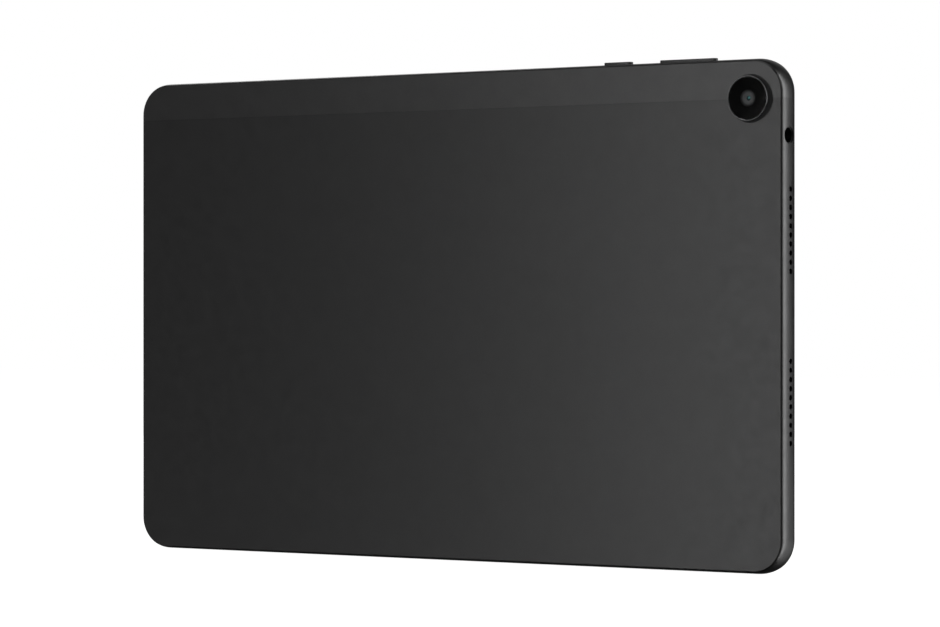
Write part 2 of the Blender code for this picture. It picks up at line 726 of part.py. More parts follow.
def main():
    """Build the whole tablet."""
    clear_scene()
    build_rear_housing()
    build_antenna_cover()
    build_bezel_frame()
    build_display()
    build_chassis()
    build_mainboard()
    build_usb_board()
    build_usb_port()
    build_headphone_jack()
    build_speakers()
    build_card_reader()
    build_card_tray()
    build_battery()
    build_display_flex()
    build_thin_pieces()
    build_rear_camera()
    build_front_camera()
    build_keys()


main()
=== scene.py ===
"""The finished look of a 10.4-inch tablet computer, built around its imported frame.

The tablet stands on one long edge: X runs along that edge, +Z is up, the screen faces -Y and the
back faces +Y. Every length is in metres. Places come from the frame's own pieces; the dataclass
fields hold the sizes that only the finished look needs, such as wall curves, lips and gaps.
"""

from __future__ import annotations

import functools
import logging
from dataclasses import dataclass
from enum import Enum
from math import acos, atan, cos, pi, radians, sin, tau
from typing import Iterable, Sequence

import bmesh
import bpy
from bpy.types import Material, Mesh, Node, NodeSocket, NodeTree, Object
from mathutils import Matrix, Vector


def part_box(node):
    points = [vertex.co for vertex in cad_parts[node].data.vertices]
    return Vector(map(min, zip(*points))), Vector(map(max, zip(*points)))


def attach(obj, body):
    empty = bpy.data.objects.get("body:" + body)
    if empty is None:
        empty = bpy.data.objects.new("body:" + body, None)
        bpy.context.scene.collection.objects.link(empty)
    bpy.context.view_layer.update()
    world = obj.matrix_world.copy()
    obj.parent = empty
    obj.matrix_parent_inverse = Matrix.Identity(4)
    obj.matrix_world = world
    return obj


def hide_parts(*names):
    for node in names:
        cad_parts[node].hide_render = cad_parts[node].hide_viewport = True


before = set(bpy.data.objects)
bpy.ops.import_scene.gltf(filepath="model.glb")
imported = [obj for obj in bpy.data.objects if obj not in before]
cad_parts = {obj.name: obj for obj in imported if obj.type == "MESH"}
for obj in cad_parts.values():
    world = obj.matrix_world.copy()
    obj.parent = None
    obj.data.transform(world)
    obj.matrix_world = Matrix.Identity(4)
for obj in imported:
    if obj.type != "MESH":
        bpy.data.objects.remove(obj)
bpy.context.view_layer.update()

MM = 0.001
QUARTER_TURN = pi / 2
TABLET = "tablet"
# Points closer than this are one point, and a cutter reaches this far past what it cuts.
WELD = 1e-7
CUTTER_REACH = 1.5 * MM
# In degrees: an edge sharper than this is rounded when a piece is softened.
SOFTEN_FROM = 40.0
# A pressed pan's outer bend as a share of its wall, and where the bend starts as a share of it.
PAN_BEND = 0.6
PAN_BEND_START = 0.3
# How many edges a corner has: on a pan, on a round-ended slot, on a key's cap.
PAN_STEPS = 5
SLOT_STEPS = 10
CAP_STEPS = 10
# How many screws each board has, and the side that each speaker's nose points to.
SCREWS = {"mainboard": 5, "usb_board": 3}
SPEAKERS = {
    "jack_side_upper": -1, "jack_side_lower": -1, "usb_side_upper": 1, "usb_side_lower": 1,
}

Point2 = tuple[float, float]
Point3 = tuple[float, float, float]
Colour = tuple[float, float, float]
Ring = list[Point3]

log = logging.getLogger("tablet")


class Axis(Enum):
    """The line that an outline is pushed along, and which axes its two coordinates lie on."""

    X = (1, 2, 0)
    Y = (0, 2, 1)
    Z = (0, 1, 2)

    def point(self, u: float, v: float, along: float) -> Point3:
        """Return the point whose outline coordinates are u and v, at a place along the axis.

        Args:
            u: the first outline coordinate.
            v: the second one.
            along: the place along the axis.

        Returns:
            The point.
        """
        values = [0.0, 0.0, 0.0]
        for place, value in zip(self.value, (u, v, along)):
            values[place] = value
        return (values[0], values[1], values[2])

    def ring(self, outline: Sequence[Point2], along: float) -> Ring:
        """Return an outline as a ring of points at a place along the axis."""
        return [self.point(u, v, along) for u, v in outline]


# Outlines


def rounded(low: Point2, high: Point2, radius: float, steps: int = 6) -> list[Point2]:
    """Return the outline of a rectangle with round corners.

    Args:
        low: its lowest corner.
        high: its highest corner.
        radius: the radius of each corner.
        steps: how many edges each corner has.

    Returns:
        The points, anticlockwise from the lower right corner.
    """
    radius = min(radius, (high[0] - low[0]) / 2, (high[1] - low[1]) / 2)
    corners = (
        (high[0] - radius, low[1] + radius, -90),
        (high[0] - radius, high[1] - radius, 0),
        (low[0] + radius, high[1] - radius, 90),
        (low[0] + radius, low[1] + radius, 180),
    )
    points = []
    for centre_u, centre_v, start in corners:
        for step in range(steps + 1):
            angle = radians(start + 90 * step / steps)
            points.append((centre_u + radius * cos(angle), centre_v + radius * sin(angle)))
    return points


def circle(centre: Point2, radius: float, points: int = 48) -> list[Point2]:
    """Return the points of a circle, anticlockwise."""
    turns = (tau * i / points for i in range(points))
    return [(centre[0] + radius * cos(a), centre[1] + radius * sin(a)) for a in turns]


def grown(low: Point2, high: Point2, by: float) -> tuple[Point2, Point2]:
    """Return a rectangle's corners, moved outward by a distance."""
    return (low[0] - by, low[1] - by), (high[0] + by, high[1] + by)


def footprint(low: Vector, high: Vector, axis: Axis, by: float = 0.0) -> tuple[Point2, Point2]:
    """Return a box's corners as seen along an axis, moved outward by a distance."""
    first, second, _ = axis.value
    return grown((low[first], low[second]), (high[first], high[second]), by)


# Meshes


class Skin:
    """Closed solids made from rings of points, gathered in one mesh."""

    def __init__(self) -> None:
        """Start with no solids."""
        self.shape = bmesh.new()

    def loft(self, rings: Sequence[Ring], hollow: bool = False) -> Skin:
        """Add a skin over rings with equal numbers of points.

        Args:
            rings: the rings, in order.
            hollow: True joins the last ring to the first, and False caps both.

        Returns:
            This skin, so that calls can follow each other.
        """
        rows = [[self.shape.verts.new(point) for point in ring] for ring in rings]
        pairs = list(zip(rows, rows[1:]))
        if hollow:
            pairs.append((rows[-1], rows[0]))
        count = len(rows[0])
        for lower, upper in pairs:
            for i in range(count):
                j = (i + 1) % count
                self.shape.faces.new((lower[i], lower[j], upper[j], upper[i]))
        if not hollow:
            self.shape.faces.new(rows[0])
            self.shape.faces.new(rows[-1])
        return self

    def stack(
        self, axis: Axis, levels: Iterable[tuple[Sequence[Point2], float]], hollow: bool = False
    ) -> Skin:
        """Add a skin over outlines, each at its own place along an axis."""
        return self.loft([axis.ring(outline, along) for outline, along in levels], hollow)

    def push(self, outline: Sequence[Point2], axis: Axis, low: float, high: float) -> Skin:
        """Add an outline pushed along an axis from low to high."""
        return self.stack(axis, [(outline, low), (outline, high)])

    def block(self, low: Vector, high: Vector) -> Skin:
        """Add a box between two corners."""
        outline = [(low.x, low.z), (high.x, low.z), (high.x, high.z), (low.x, high.z)]
        return self.push(outline, Axis.Y, low.y, high.y)

    def tiers(self, low: Vector, high: Vector, tiers: Iterable[Point3], steps: int) -> Skin:
        """Add a skin over rectangles with round corners, which lie in the XZ plane.

        Args:
            low: the lowest corner at full size.
            high: the highest corner at full size.
            tiers: each rectangle's place along Y, how far it is drawn in, and its corner radius.
            steps: how many edges each corner has.

        Returns:
            This skin.
        """
        outlines = []
        for level, shrink, radius in tiers:
            corners = footprint(low, high, Axis.Y, -shrink)
            outlines.append((rounded(*corners, radius, steps), level))
        return self.stack(Axis.Y, outlines)

    def slab(
        self, low: Vector, high: Vector, radius: float, bevel: float, steps: int = 4
    ) -> Skin:
        """Add a plate with round corners and chamfered faces, which lies in the XZ plane.

        Args:
            low: its lowest corner.
            high: its highest corner.
            radius: the radius of its four upright edges.
            bevel: the chamfer along both faces.
            steps: how many edges each corner has.

        Returns:
            This skin.
        """
        levels = ((low.y, bevel), (low.y + bevel, 0.0), (high.y - bevel, 0.0), (high.y, bevel))
        return self.tiers(low, high, [(*level, radius) for level in levels], steps)

    def pan(self, low: Vector, high: Vector, wall: float, radius: float) -> Skin:
        """Add a pressed sheet pan whose floor faces +Y and whose open side faces -Y.

        Args:
            low: its lowest corner.
            high: its highest corner.
            wall: the sheet's thickness.
            radius: the radius of its four upright edges.

        Returns:
            This skin.
        """
        bend = wall * PAN_BEND
        start = bend * PAN_BEND_START
        levels = (
            (high.y - wall, wall), (low.y, wall), (low.y, 0.0), (high.y - bend, 0.0),
            (high.y - start, start), (high.y, bend),
        )
        tiers = [(level, shrink, radius - shrink) for level, shrink in levels]
        return self.tiers(low, high, tiers, PAN_STEPS)

    def turn(
        self,
        section: Sequence[Point2],
        axis: Axis,
        centre: Point2,
        points: int = 48,
        hollow: bool = False,
    ) -> Skin:
        """Add a turned solid from (radius, place along the axis) pairs."""
        rings = [axis.ring(circle(centre, radius, points), along) for radius, along in section]
        return self.loft(rings, hollow)

    def mesh(self, name: str) -> Mesh:
        """Weld the solids, turn their faces outward and return them as a mesh.

        Args:
            name: the mesh's name.

        Returns:
            The mesh, with its faces turned outward.
        """
        bmesh.ops.remove_doubles(self.shape, verts=self.shape.verts, dist=WELD)
        bmesh.ops.dissolve_degenerate(self.shape, edges=self.shape.edges, dist=WELD)
        bmesh.ops.recalc_face_normals(self.shape, faces=self.shape.faces)
        made = bpy.data.meshes.new(name)
        self.shape.to_mesh(made)
        self.shape.free()
        return made

    def item(self, name: str) -> Object:
        """Return the solids as an object in the scene."""
        return put(name, self.mesh(name))


def put(name: str, mesh: Mesh) -> Object:
    """Link a mesh to the scene as an object at the origin.

    Args:
        name: the object's name.
        mesh: its mesh.

    Returns:
        The object.
    """
    made = bpy.data.objects.new(name, mesh)
    bpy.context.scene.collection.objects.link(made)
    return made


def settle(item: Object) -> Object:
    """Turn an object's live modifiers into a plain mesh.

    Args:
        item: the object.

    Returns:
        The same object, with no modifiers.
    """
    graph = bpy.context.evaluated_depsgraph_get()
    graph.update()
    plain = bpy.data.meshes.new_from_object(item.evaluated_get(graph))
    item.modifiers.clear()
    item.data = plain
    plain.name = item.name
    if not any(plain.materials):
        plain.materials.clear()
    return item


def drop(*items: Object) -> None:
    """Remove helper objects from the scene."""
    for item in items:
        bpy.data.objects.remove(item, do_unlink=True)


def carve(item: Object, cutter: Object) -> Object:
    """Cut a cutter out of an object and remove the cutter.

    Args:
        item: the object to cut.
        cutter: what to cut out of it.

    Returns:
        The same object.
    """
    modifier = item.modifiers.new("carve", "BOOLEAN")
    modifier.operation = "DIFFERENCE"
    modifier.solver = "EXACT"
    modifier.object = cutter
    settle(item)
    drop(cutter)
    return item


def soften(item: Object, width: float, segments: int = 2) -> Object:
    """Round an object's sharp edges by a width.

    Args:
        item: the object.
        width: the bevel's width.
        segments: how many faces the bevel has.

    Returns:
        The same object.
    """
    modifier = item.modifiers.new("soften", "BEVEL")
    modifier.width = width
    modifier.segments = segments
    modifier.limit_method = "ANGLE"
    modifier.angle_limit = radians(SOFTEN_FROM)
    modifier.harden_normals = False
    return settle(item)


def joined(name: str, *items: Object) -> Object:
    """Join several objects into one mesh, keeping each one's material.

    Args:
        name: the new object's name.
        items: the objects, which are removed.

    Returns:
        The new object.
    """
    gathered = bmesh.new()
    materials: list[Material] = []
    for item in items:
        first = len(gathered.faces)
        gathered.from_mesh(item.data)
        gathered.faces.ensure_lookup_table()
        for slot in item.data.materials:
            if slot not in materials:
                materials.append(slot)
        for face in gathered.faces[first:]:
            own = item.data.materials[face.material_index] if item.data.materials else None
            face.material_index = materials.index(own) if own else 0
    mesh = bpy.data.meshes.new(name)
    gathered.to_mesh(mesh)
    gathered.free()
    for one in materials:
        mesh.materials.append(one)
    drop(*items)
    return put(name, mesh)


def halve(item: Object, level: float, keep_above: bool) -> None:
    """Cut a closed object along a level plane, keep one side and close it.

    Args:
        item: the object.
        level: the plane's height.
        keep_above: True keeps the part above the plane.
    """
    shape = bmesh.new()
    shape.from_mesh(item.data)
    result = bmesh.ops.bisect_plane(
        shape,
        geom=shape.verts[:] + shape.edges[:] + shape.faces[:],
        plane_co=(0, 0, level),
        plane_no=(0, 0, 1),
        clear_inner=keep_above,
        clear_outer=not keep_above,
    )
    rim = [part for part in result["geom_cut"] if isinstance(part, bmesh.types.BMEdge)]
    bmesh.ops.edgeloop_fill(shape, edges=rim)
    bmesh.ops.recalc_face_normals(shape, faces=shape.faces)
    shape.to_mesh(item.data)
    shape.free()


def close_holes(item: Object) -> None:
    """Fill every open edge loop of an object and turn its faces outward.

    Args:
        item: the object.
    """
    shape = bmesh.new()
    shape.from_mesh(item.data)
    bmesh.ops.remove_doubles(shape, verts=shape.verts, dist=WELD)
    bmesh.ops.holes_fill(shape, edges=[edge for edge in shape.edges if edge.is_boundary])
    bmesh.ops.recalc_face_normals(shape, faces=shape.faces)
    shape.to_mesh(item.data)
    shape.free()


# Geometry Nodes


class NodeMaker:
    """A node tree under construction, whose nodes' type names share a prefix."""

    prefix = ""
    tree: NodeTree

    def add(self, kind: str, inputs: dict[object, object], **settings: object) -> Node:
        """Add a node, set its options, and link or set its inputs.

        Args:
            kind: the node's type name after the prefix.
            inputs: a socket to link or a value to set, by input name or number.
            settings: options of the node.

        Returns:
            The node.
        """
        made = self.tree.nodes.new(self.prefix + kind)
        for option, value in settings.items():
            setattr(made, option, value)
        for name, value in inputs.items():
            if isinstance(value, NodeSocket):
                self.tree.links.new(value, made.inputs[name])
            else:
                made.inputs[name].default_value = value
        return made


class Recipe(NodeMaker):
    """A Geometry Nodes tree, which ends by setting a material."""

    def __init__(self, name: str) -> None:
        """Start a tree that takes geometry and a material.

        Args:
            name: the tree's name.
        """
        self.tree = bpy.data.node_groups.new(name, "GeometryNodeTree")
        self.socket("Geometry", "NodeSocketGeometry")
        self.tree.interface.new_socket(
            "Geometry", in_out="OUTPUT", socket_type="NodeSocketGeometry"
        )
        self.source = self.tree.nodes.new("NodeGroupInput")

    def socket(self, name: str, kind: str, value: object = None) -> None:
        """Add a named input with a default value.

        Args:
            name: the input's name.
            kind: its socket type.
            value: its default value.
        """
        made = self.tree.interface.new_socket(name, in_out="INPUT", socket_type=kind)
        if value is not None:
            made.default_value = value

    def given(self, name: str) -> NodeSocket:
        """Return the socket that carries a named input."""
        return self.source.outputs[name]

    def finish(self, geometry: NodeSocket) -> NodeTree:
        """End the tree with real geometry in the given material.

        Args:
            geometry: the socket that carries the geometry.

        Returns:
            The tree.
        """
        self.socket("Material", "NodeSocketMaterial")
        real = self.add("GeometryNodeRealizeInstances", {"Geometry": geometry})
        inputs = {"Geometry": real.outputs[0], "Material": self.given("Material")}
        dressed = self.add("GeometryNodeSetMaterial", inputs)
        output = self.tree.nodes.new("NodeGroupOutput")
        self.tree.links.new(dressed.outputs[0], output.inputs["Geometry"])
        return self.tree


def grow(base: Object, tree: NodeTree, **values: object) -> Object:
    """Run a Geometry Nodes tree on an object and keep the result as its plain mesh.

    Args:
        base: the object whose mesh the tree takes.
        tree: the tree.
        values: the tree's inputs by name, with _ for a space.

    Returns:
        The same object.
    """
    modifier = base.modifiers.new(tree.name, "NODES")
    modifier.node_group = tree
    for socket in tree.interface.items_tree:
        wanted = socket.name.lower().replace(" ", "_")
        if socket.in_out == "INPUT" and wanted in values:
            modifier[socket.identifier] = values[wanted]
    return settle(base)


@functools.cache
def rim_recipe() -> NodeTree:
    """Sweep a section round a rectangle with round corners, upright in the XZ plane.

    Returns:
        The tree.
    """
    recipe = Recipe("rim_sweep")
    for name in ("Width", "Height", "Corner Radius"):
        recipe.socket(name, "NodeSocketFloat", 0.1)
    recipe.socket("Corner Steps", "NodeSocketInt", 12)
    recipe.socket("Middle", "NodeSocketVector", (0.0, 0.0, 0.0))
    box = recipe.add(
        "GeometryNodeCurvePrimitiveQuadrilateral",
        {"Width": recipe.given("Width"), "Height": recipe.given("Height")},
    )
    corners = {"Curve": box.outputs[0], "Count": recipe.given("Corner Steps")}
    corners["Radius"] = recipe.given("Corner Radius")
    path = recipe.add("GeometryNodeFilletCurve", corners, mode="POLY")
    section = recipe.add("GeometryNodeMeshToCurve", {"Mesh": recipe.given("Geometry")})
    swept = recipe.add(
        "GeometryNodeCurveToMesh",
        {"Curve": path.outputs[0], "Profile Curve": section.outputs[0]},
    )
    upright = recipe.add(
        "GeometryNodeTransform",
        {
            "Geometry": swept.outputs[0],
            "Translation": recipe.given("Middle"),
            "Rotation": (QUARTER_TURN, 0.0, 0.0),
        },
    )
    return recipe.finish(upright.outputs[0])


@functools.cache
def row_recipe() -> NodeTree:
    """Repeat a piece along a straight line, centred on where it stands.

    Returns:
        The tree.
    """
    recipe = Recipe("even_row")
    recipe.socket("Count", "NodeSocketInt", 10)
    recipe.socket("Step", "NodeSocketVector", (0.0, 0.0, 0.001))
    line = recipe.add(
        "GeometryNodeMeshLine",
        {"Count": recipe.given("Count"), "Offset": recipe.given("Step")},
        mode="OFFSET",
    )
    less = recipe.add("ShaderNodeMath", {0: recipe.given("Count"), 1: 1.0}, operation="SUBTRACT")
    half = recipe.add("ShaderNodeMath", {0: less.outputs[0], 1: -0.5}, operation="MULTIPLY")
    back = recipe.add(
        "ShaderNodeVectorMath",
        {0: recipe.given("Step"), "Scale": half.outputs[0]},
        operation="SCALE",
    )
    centred = recipe.add(
        "GeometryNodeSetPosition", {"Geometry": line.outputs[0], "Offset": back.outputs[0]}
    )
    copies = recipe.add(
        "GeometryNodeInstanceOnPoints",
        {"Points": centred.outputs[0], "Instance": recipe.given("Geometry")},
    )
    return recipe.finish(copies.outputs[0])


def row(item: Object, count: int, step: Point3) -> Object:
    """Repeat an object in an even row about its own place and return it."""
    return grow(item, row_recipe(), count=count, step=step)


@functools.cache
def set_at_points_recipe() -> NodeTree:
    """Put a copy of an item at every point of a mesh.

    Returns:
        The tree.
    """
    recipe = Recipe("set_at_points")
    recipe.socket("Item", "NodeSocketObject")
    item = recipe.add("GeometryNodeObjectInfo", {"Object": recipe.given("Item")})
    copies = recipe.add(
        "GeometryNodeInstanceOnPoints",
        {"Points": recipe.given("Geometry"), "Instance": item.outputs["Geometry"]},
    )
    return recipe.finish(copies.outputs[0])


# Finishes

# The range that most of a noise texture's values lie in, and the length over which a wave texture
# of scale 1 repeats.
NOISE_RANGE = (0.3, 0.7)
WAVE_LENGTH = 0.314


class Graph(NodeMaker):
    """A material's node tree, with short calls for what the finishes share."""

    prefix = "ShaderNode"

    def __init__(self, name: str) -> None:
        """Start a material with one Principled shader.

        Args:
            name: the material's name.
        """
        self.material = bpy.data.materials.new(name)
        self.material.use_nodes = True
        self.tree = self.material.node_tree
        self.shader = self.tree.nodes["Principled BSDF"]
        self.place = self.tree.nodes.new("ShaderNodeTexCoord").outputs["Object"]

    def noise(self, size: float, detail: float = 2.0) -> NodeSocket:
        """Return noise whose lumps are about a size across, from 0 to 1."""
        inputs = {"Vector": self.place, "Scale": 1.0 / size, "Detail": detail}
        return self.add("TexNoise", inputs).outputs["Fac"]

    def spread(
        self, value: NodeSocket, low: float, high: float
    ) -> NodeSocket:
        """Spread a value's middle range over low to high.

        Args:
            value: the noise.
            low: the new low end.
            high: the new high end.

        Returns:
            The spread value.
        """
        start, end = NOISE_RANGE
        inputs = {"Value": value, "From Min": start, "From Max": end, "To Min": low, "To Max": high}
        return self.add("MapRange", inputs).outputs["Result"]

    def blend(
        self, factor: NodeSocket, first: Colour, second: Colour
    ) -> NodeSocket:
        """Return a colour between two colours."""
        mix = self.add("Mix", {0: factor, 6: (*first, 1.0), 7: (*second, 1.0)}, data_type="RGBA")
        return mix.outputs[2]

    def fade(self, centre: Point3, start: float, end: float) -> NodeSocket:
        """Return a smooth rise from 0 to 1 with the distance from a line along Y.

        Args:
            centre: where the line crosses the XZ plane.
            start: the distance where the rise starts.
            end: the distance where it ends.

        Returns:
            The socket that carries it.
        """
        flat = self.add("VectorMath", {0: self.place, 1: (1.0, 0.0, 1.0)}, operation="MULTIPLY")
        away = self.add("VectorMath", {0: flat.outputs[0], 1: centre}, operation="DISTANCE")
        inputs = {"Value": away.outputs["Value"], "From Min": start, "From Max": end}
        return self.add("MapRange", inputs, interpolation_type="SMOOTHSTEP").outputs["Result"]

    def bump(self, height: NodeSocket, depth: float, strength: float = 1.0) -> None:
        """Let a height raise the surface by up to a depth."""
        bumped = self.add("Bump", {"Height": height, "Distance": depth, "Strength": strength})
        self.tree.links.new(bumped.outputs["Normal"], self.shader.inputs["Normal"])

    def drive(self, name: str, value: object) -> None:
        """Link a socket to, or set a number on, one of the shader's inputs.

        Args:
            name: the input's name.
            value: the socket or number.
        """
        if isinstance(value, NodeSocket):
            self.tree.links.new(value, self.shader.inputs[name])
        else:
            self.shader.inputs[name].default_value = value


@dataclass(frozen=True)
class Finish:
    """A surface with a mottled colour, uneven gloss and a fine grain.

    The colour is linear. Mottle and grain are sizes of their lumps, gloss_mottle is how large the
    gloss's lumps are beside the colour's, and depth is the grain's height.
    """

    name: str
    slot: str
    colour: Colour
    roughness: float = 0.5
    metallic: float = 0.0
    mottle: float = 6 * MM
    mottle_strength: float = 0.12
    gloss_change: float = 0.04
    gloss_mottle: float = 0.6
    grain: float = 0.15 * MM
    depth: float = 0.004 * MM
    shine: float = 0.5

    @functools.cache
    def material(self) -> Material:
        """Return the material, made the first time it is asked for."""
        return self.make()

    def shades(self) -> tuple[Colour, Colour]:
        """Return the darkest and the lightest of the mottled colours."""
        dark = tuple(part * (1 - self.mottle_strength) for part in self.colour)
        return dark, tuple(min(1.0, part * (1 + self.mottle_strength)) for part in self.colour)

    def base(self, graph: Graph) -> NodeSocket:
        """Return the mottled colour."""
        return graph.blend(graph.noise(self.mottle, 4.0), *self.shades())

    def relief(self, graph: Graph) -> None:
        """Raise the grain."""
        graph.bump(graph.noise(self.grain, 1.0), self.depth)

    def dress(self, graph: Graph) -> None:
        """Set the shader's gloss and relief.

        Args:
            graph: the material's graph.
        """
        rough = graph.spread(
            graph.noise(self.mottle * self.gloss_mottle),
            max(0.0, self.roughness - self.gloss_change),
            self.roughness + self.gloss_change,
        )
        graph.drive("Roughness", rough)
        graph.drive("Metallic", self.metallic)
        graph.drive("Specular IOR Level", self.shine)
        self.relief(graph)

    def make(self) -> Material:
        """Build the material.

        Returns:
            The material.
        """
        graph = Graph(self.name)
        graph.drive("Base Color", self.base(graph))
        self.dress(graph)
        return graph.material


@dataclass(frozen=True)
class BlastedMetal(Finish):
    """Bead-blasted and anodised metal, with tiny dimples and a faint cloudiness in its dye."""

    dimple: float = 0.09 * MM
    dimple_strength: float = 0.6
    cloud: float = 0.35 * MM

    def relief(self, graph: Graph) -> None:
        """Sink the dimples.

        Args:
            graph: the material's graph.
        """
        inputs = {"Vector": graph.place, "Scale": 1.0 / self.dimple}
        cells = graph.add("TexVoronoi", inputs, feature="F1")
        graph.bump(cells.outputs["Distance"], self.depth, self.dimple_strength)

    def base(self, graph: Graph) -> NodeSocket:
        """Return the anodised colour, mottled by fine and wide clouds together.

        Args:
            graph: the material's graph.

        Returns:
            The colour.
        """
        fine, wide = graph.noise(self.cloud, 3.0), graph.noise(self.mottle, 2.0)
        both = graph.add("Math", {0: fine, 1: wide}, operation="ADD").outputs[0]
        half = graph.add("Math", {0: both, 1: 0.5}, operation="MULTIPLY").outputs[0]
        return graph.blend(graph.spread(half, 0.0, 1.0), *self.shades())


@dataclass(frozen=True)
class ClearGlass(Finish):
    """Clear glass with faint smears in its polish."""

    bend: float = 1.51

    def make(self) -> Material:
        """Build the material.

        Returns:
            The material.
        """
        graph = Graph(self.name)
        graph.drive("Base Color", (*self.colour, 1.0))
        graph.drive("Transmission Weight", 1.0)
        graph.drive("IOR", self.bend)
        smear = graph.spread(graph.noise(self.mottle, 5.0), 0.0, self.gloss_change)
        graph.drive("Roughness", smear)
        return graph.material


@dataclass(frozen=True)
class TurnedMetal(Finish):
    """Metal turned on a lathe about a line along Y, with fine rings."""

    centre: Point3 = (0.0, 0.0, 0.0)
    pitch: float = 0.314 * MM
    wander: float = 0.4

    def relief(self, graph: Graph) -> None:
        """Cut the turning marks.

        Args:
            graph: the material's graph.
        """
        offset = tuple(-part for part in self.centre)
        moved = graph.add("Mapping", {"Vector": graph.place, "Location": offset}).outputs[0]
        scale = WAVE_LENGTH / self.pitch
        inputs = {"Vector": moved, "Scale": scale, "Distortion": self.wander}
        rings = graph.add("TexWave", inputs, wave_type="RINGS", rings_direction="Y")
        graph.bump(rings.outputs["Fac"], self.depth)


@dataclass(frozen=True)
class Traced(Finish):
    """A circuit board's or a flexible lead's skin, with tracks that show through it.

    The tracks run one way within a patch, and track_edge is where on the wave their sides lie.
    """

    trace: Colour = (0.1, 0.2, 0.1)
    pitch: float = 1.1 * MM
    patch: float = 9 * MM
    track_edge: Point2 = (0.68, 0.74)

    def base(self, graph: Graph) -> NodeSocket:
        """Return the skin's colour with its tracks.

        Args:
            graph: the material's graph.

        Returns:
            The colour.
        """
        patches = graph.add("TexVoronoi", {"Vector": graph.place, "Scale": 1 / self.patch})
        start, end = self.track_edge
        bands = []
        for direction in ("X", "Z"):
            scale = WAVE_LENGTH / self.pitch
            inputs = {"Vector": graph.place, "Scale": scale, "Distortion": 0.0}
            wave = graph.add("TexWave", inputs, bands_direction=direction)
            inputs = {"Value": wave.outputs["Fac"], "From Min": start, "From Max": end}
            bands.append(graph.add("MapRange", inputs).outputs["Result"])
        side = graph.add("SeparateColor", {"Color": patches.outputs["Color"]}).outputs[0]
        chosen = graph.add("Math", {0: side, 1: 0.5}, operation="GREATER_THAN").outputs[0]
        track = graph.add("Mix", {0: chosen, 2: bands[0], 3: bands[1]}).outputs[0]
        return graph.blend(track, self.colour, self.trace)


@dataclass(frozen=True)
class Dotted(Finish):
    """A sheet printed with fine dots, whose edge lies at a share of their spacing."""

    dots: float = 1.5 * MM
    dot: Colour = (1.0, 1.0, 1.0)
    dot_edge: Point2 = (0.3, 0.36)

    def base(self, graph: Graph) -> NodeSocket:
        """Return the sheet's colour with its dots.

        Args:
            graph: the material's graph.

        Returns:
            The colour.
        """
        inputs = {"Vector": graph.place, "Scale": 1 / self.dots, "Randomness": 0.0}
        distance = graph.add("TexVoronoi", inputs).outputs["Distance"]
        start, end = self.dot_edge
        edge = {"Value": distance, "From Min": start, "From Max": end}
        return graph.blend(graph.add("MapRange", edge).outputs["Result"], self.dot, self.colour)


@dataclass(frozen=True)
class PaintedSheenDisc(Finish):
    """A black face about a line along Y, with a grey painted sheen that fades to black over the outer
    part of its reach.
    """

    centre: Point3 = (0.0, 0.0, 0.0)
    reach: float = 2.5 * MM
    even: float = 0.45
    edge: Colour = (0.002, 0.002, 0.002)

    def base(self, graph: Graph) -> NodeSocket:
        """Return the painted sheen's colour, which fades to black by distance from the line."""
        fade = graph.fade(self.centre, self.reach * self.even, self.reach)
        return graph.blend(fade, self.colour, self.edge)


@dataclass(frozen=True)
class PaintedGlintLens(Finish):
    """A dark lens with a blue-green coating and a painted glint that brightens it round one spot, under
    a clear polish.
    """

    spot: Point3 = (0.0, 0.0, 0.0)
    # glow is the colour of the painted glint at the spot.
    glow: Colour = (0.3, 0.85, 0.95)
    reach: float = 0.7 * MM
    polish: float = 0.03

    def base(self, graph: Graph) -> NodeSocket:
        """Return the coating's colour with its painted glint, by distance from the spot."""
        return graph.blend(graph.fade(self.spot, 0.0, self.reach), self.glow, self.colour)

    def relief(self, graph: Graph) -> None:
        """Raise the grain and set the clear polish.

        Args:
            graph: the material's graph.
        """
        super().relief(graph)
        graph.drive("Coat Weight", 1.0)
        graph.drive("Coat Roughness", self.polish)


HOUSING = BlastedMetal(
    "blasted_grey_metal", "anodised_aluminium", (0.13, 0.13, 0.1305), 0.35, 1.0,
    mottle_strength=0.05, gloss_change=0.02, depth=0.002 * MM,
)
BAND = BlastedMetal(
    "painted_band", "band_plastic", (0.154, 0.154, 0.1545), 0.35, 1.0,
    mottle_strength=0.06, gloss_change=0.02, depth=0.002 * MM,
)
BEZEL = Finish(
    "ring_plastic", "bezel_plastic", (0.008, 0.008, 0.0085), 0.38,
    grain=0.12 * MM, depth=0.003 * MM,
)
GLASS = ClearGlass(
    "clear_glass", "screen_glass", (0.98, 0.985, 0.985), mottle=18 * MM, gloss_change=0.03
)
INK = Finish(
    "black_ink", "screen_glass", (0.0022, 0.0022, 0.0025), 0.4, depth=0.0005 * MM, shine=0.03
)
MOULDED = Finish("moulded_black", "black_plastic", (0.009, 0.009, 0.0095), 0.5)
RUBBER = Finish("cone_rubber", "black_plastic", (0.014, 0.014, 0.015), 0.65, mottle=MM)
SHEET = Finish(
    "tinned_steel", "sheet_steel", (0.56, 0.565, 0.575), 0.28, 1.0,
    mottle=3 * MM, mottle_strength=0.06, gloss_change=0.06,
)
CAST = Finish(
    "cast_magnesium", "magnesium", (0.42, 0.43, 0.435), 0.45, 1.0,
    mottle=4 * MM, mottle_strength=0.1, grain=0.4 * MM, depth=0.01 * MM,
)
SCREW = Finish("nickel_screw", "screw_steel", (0.48, 0.475, 0.47), 0.25, 1.0, mottle=0.8 * MM)
GOLD = Finish("gold_plate", "flex_copper", (0.83, 0.58, 0.24), 0.25, 1.0, mottle_strength=0.05)
WIRE = Finish("woven_mesh", "mesh_fabric", (0.012, 0.012, 0.013), 0.55, 0.3, mottle=MM)
CHIP = Finish(
    "chip_epoxy", "chip", (0.012, 0.012, 0.0125), 0.55, grain=0.06 * MM, depth=0.004 * MM
)
CERAMIC = Finish(
    "ceramic_parts", "chip", (0.3, 0.22, 0.15), 0.45, mottle=1.1 * MM, mottle_strength=0.7
)
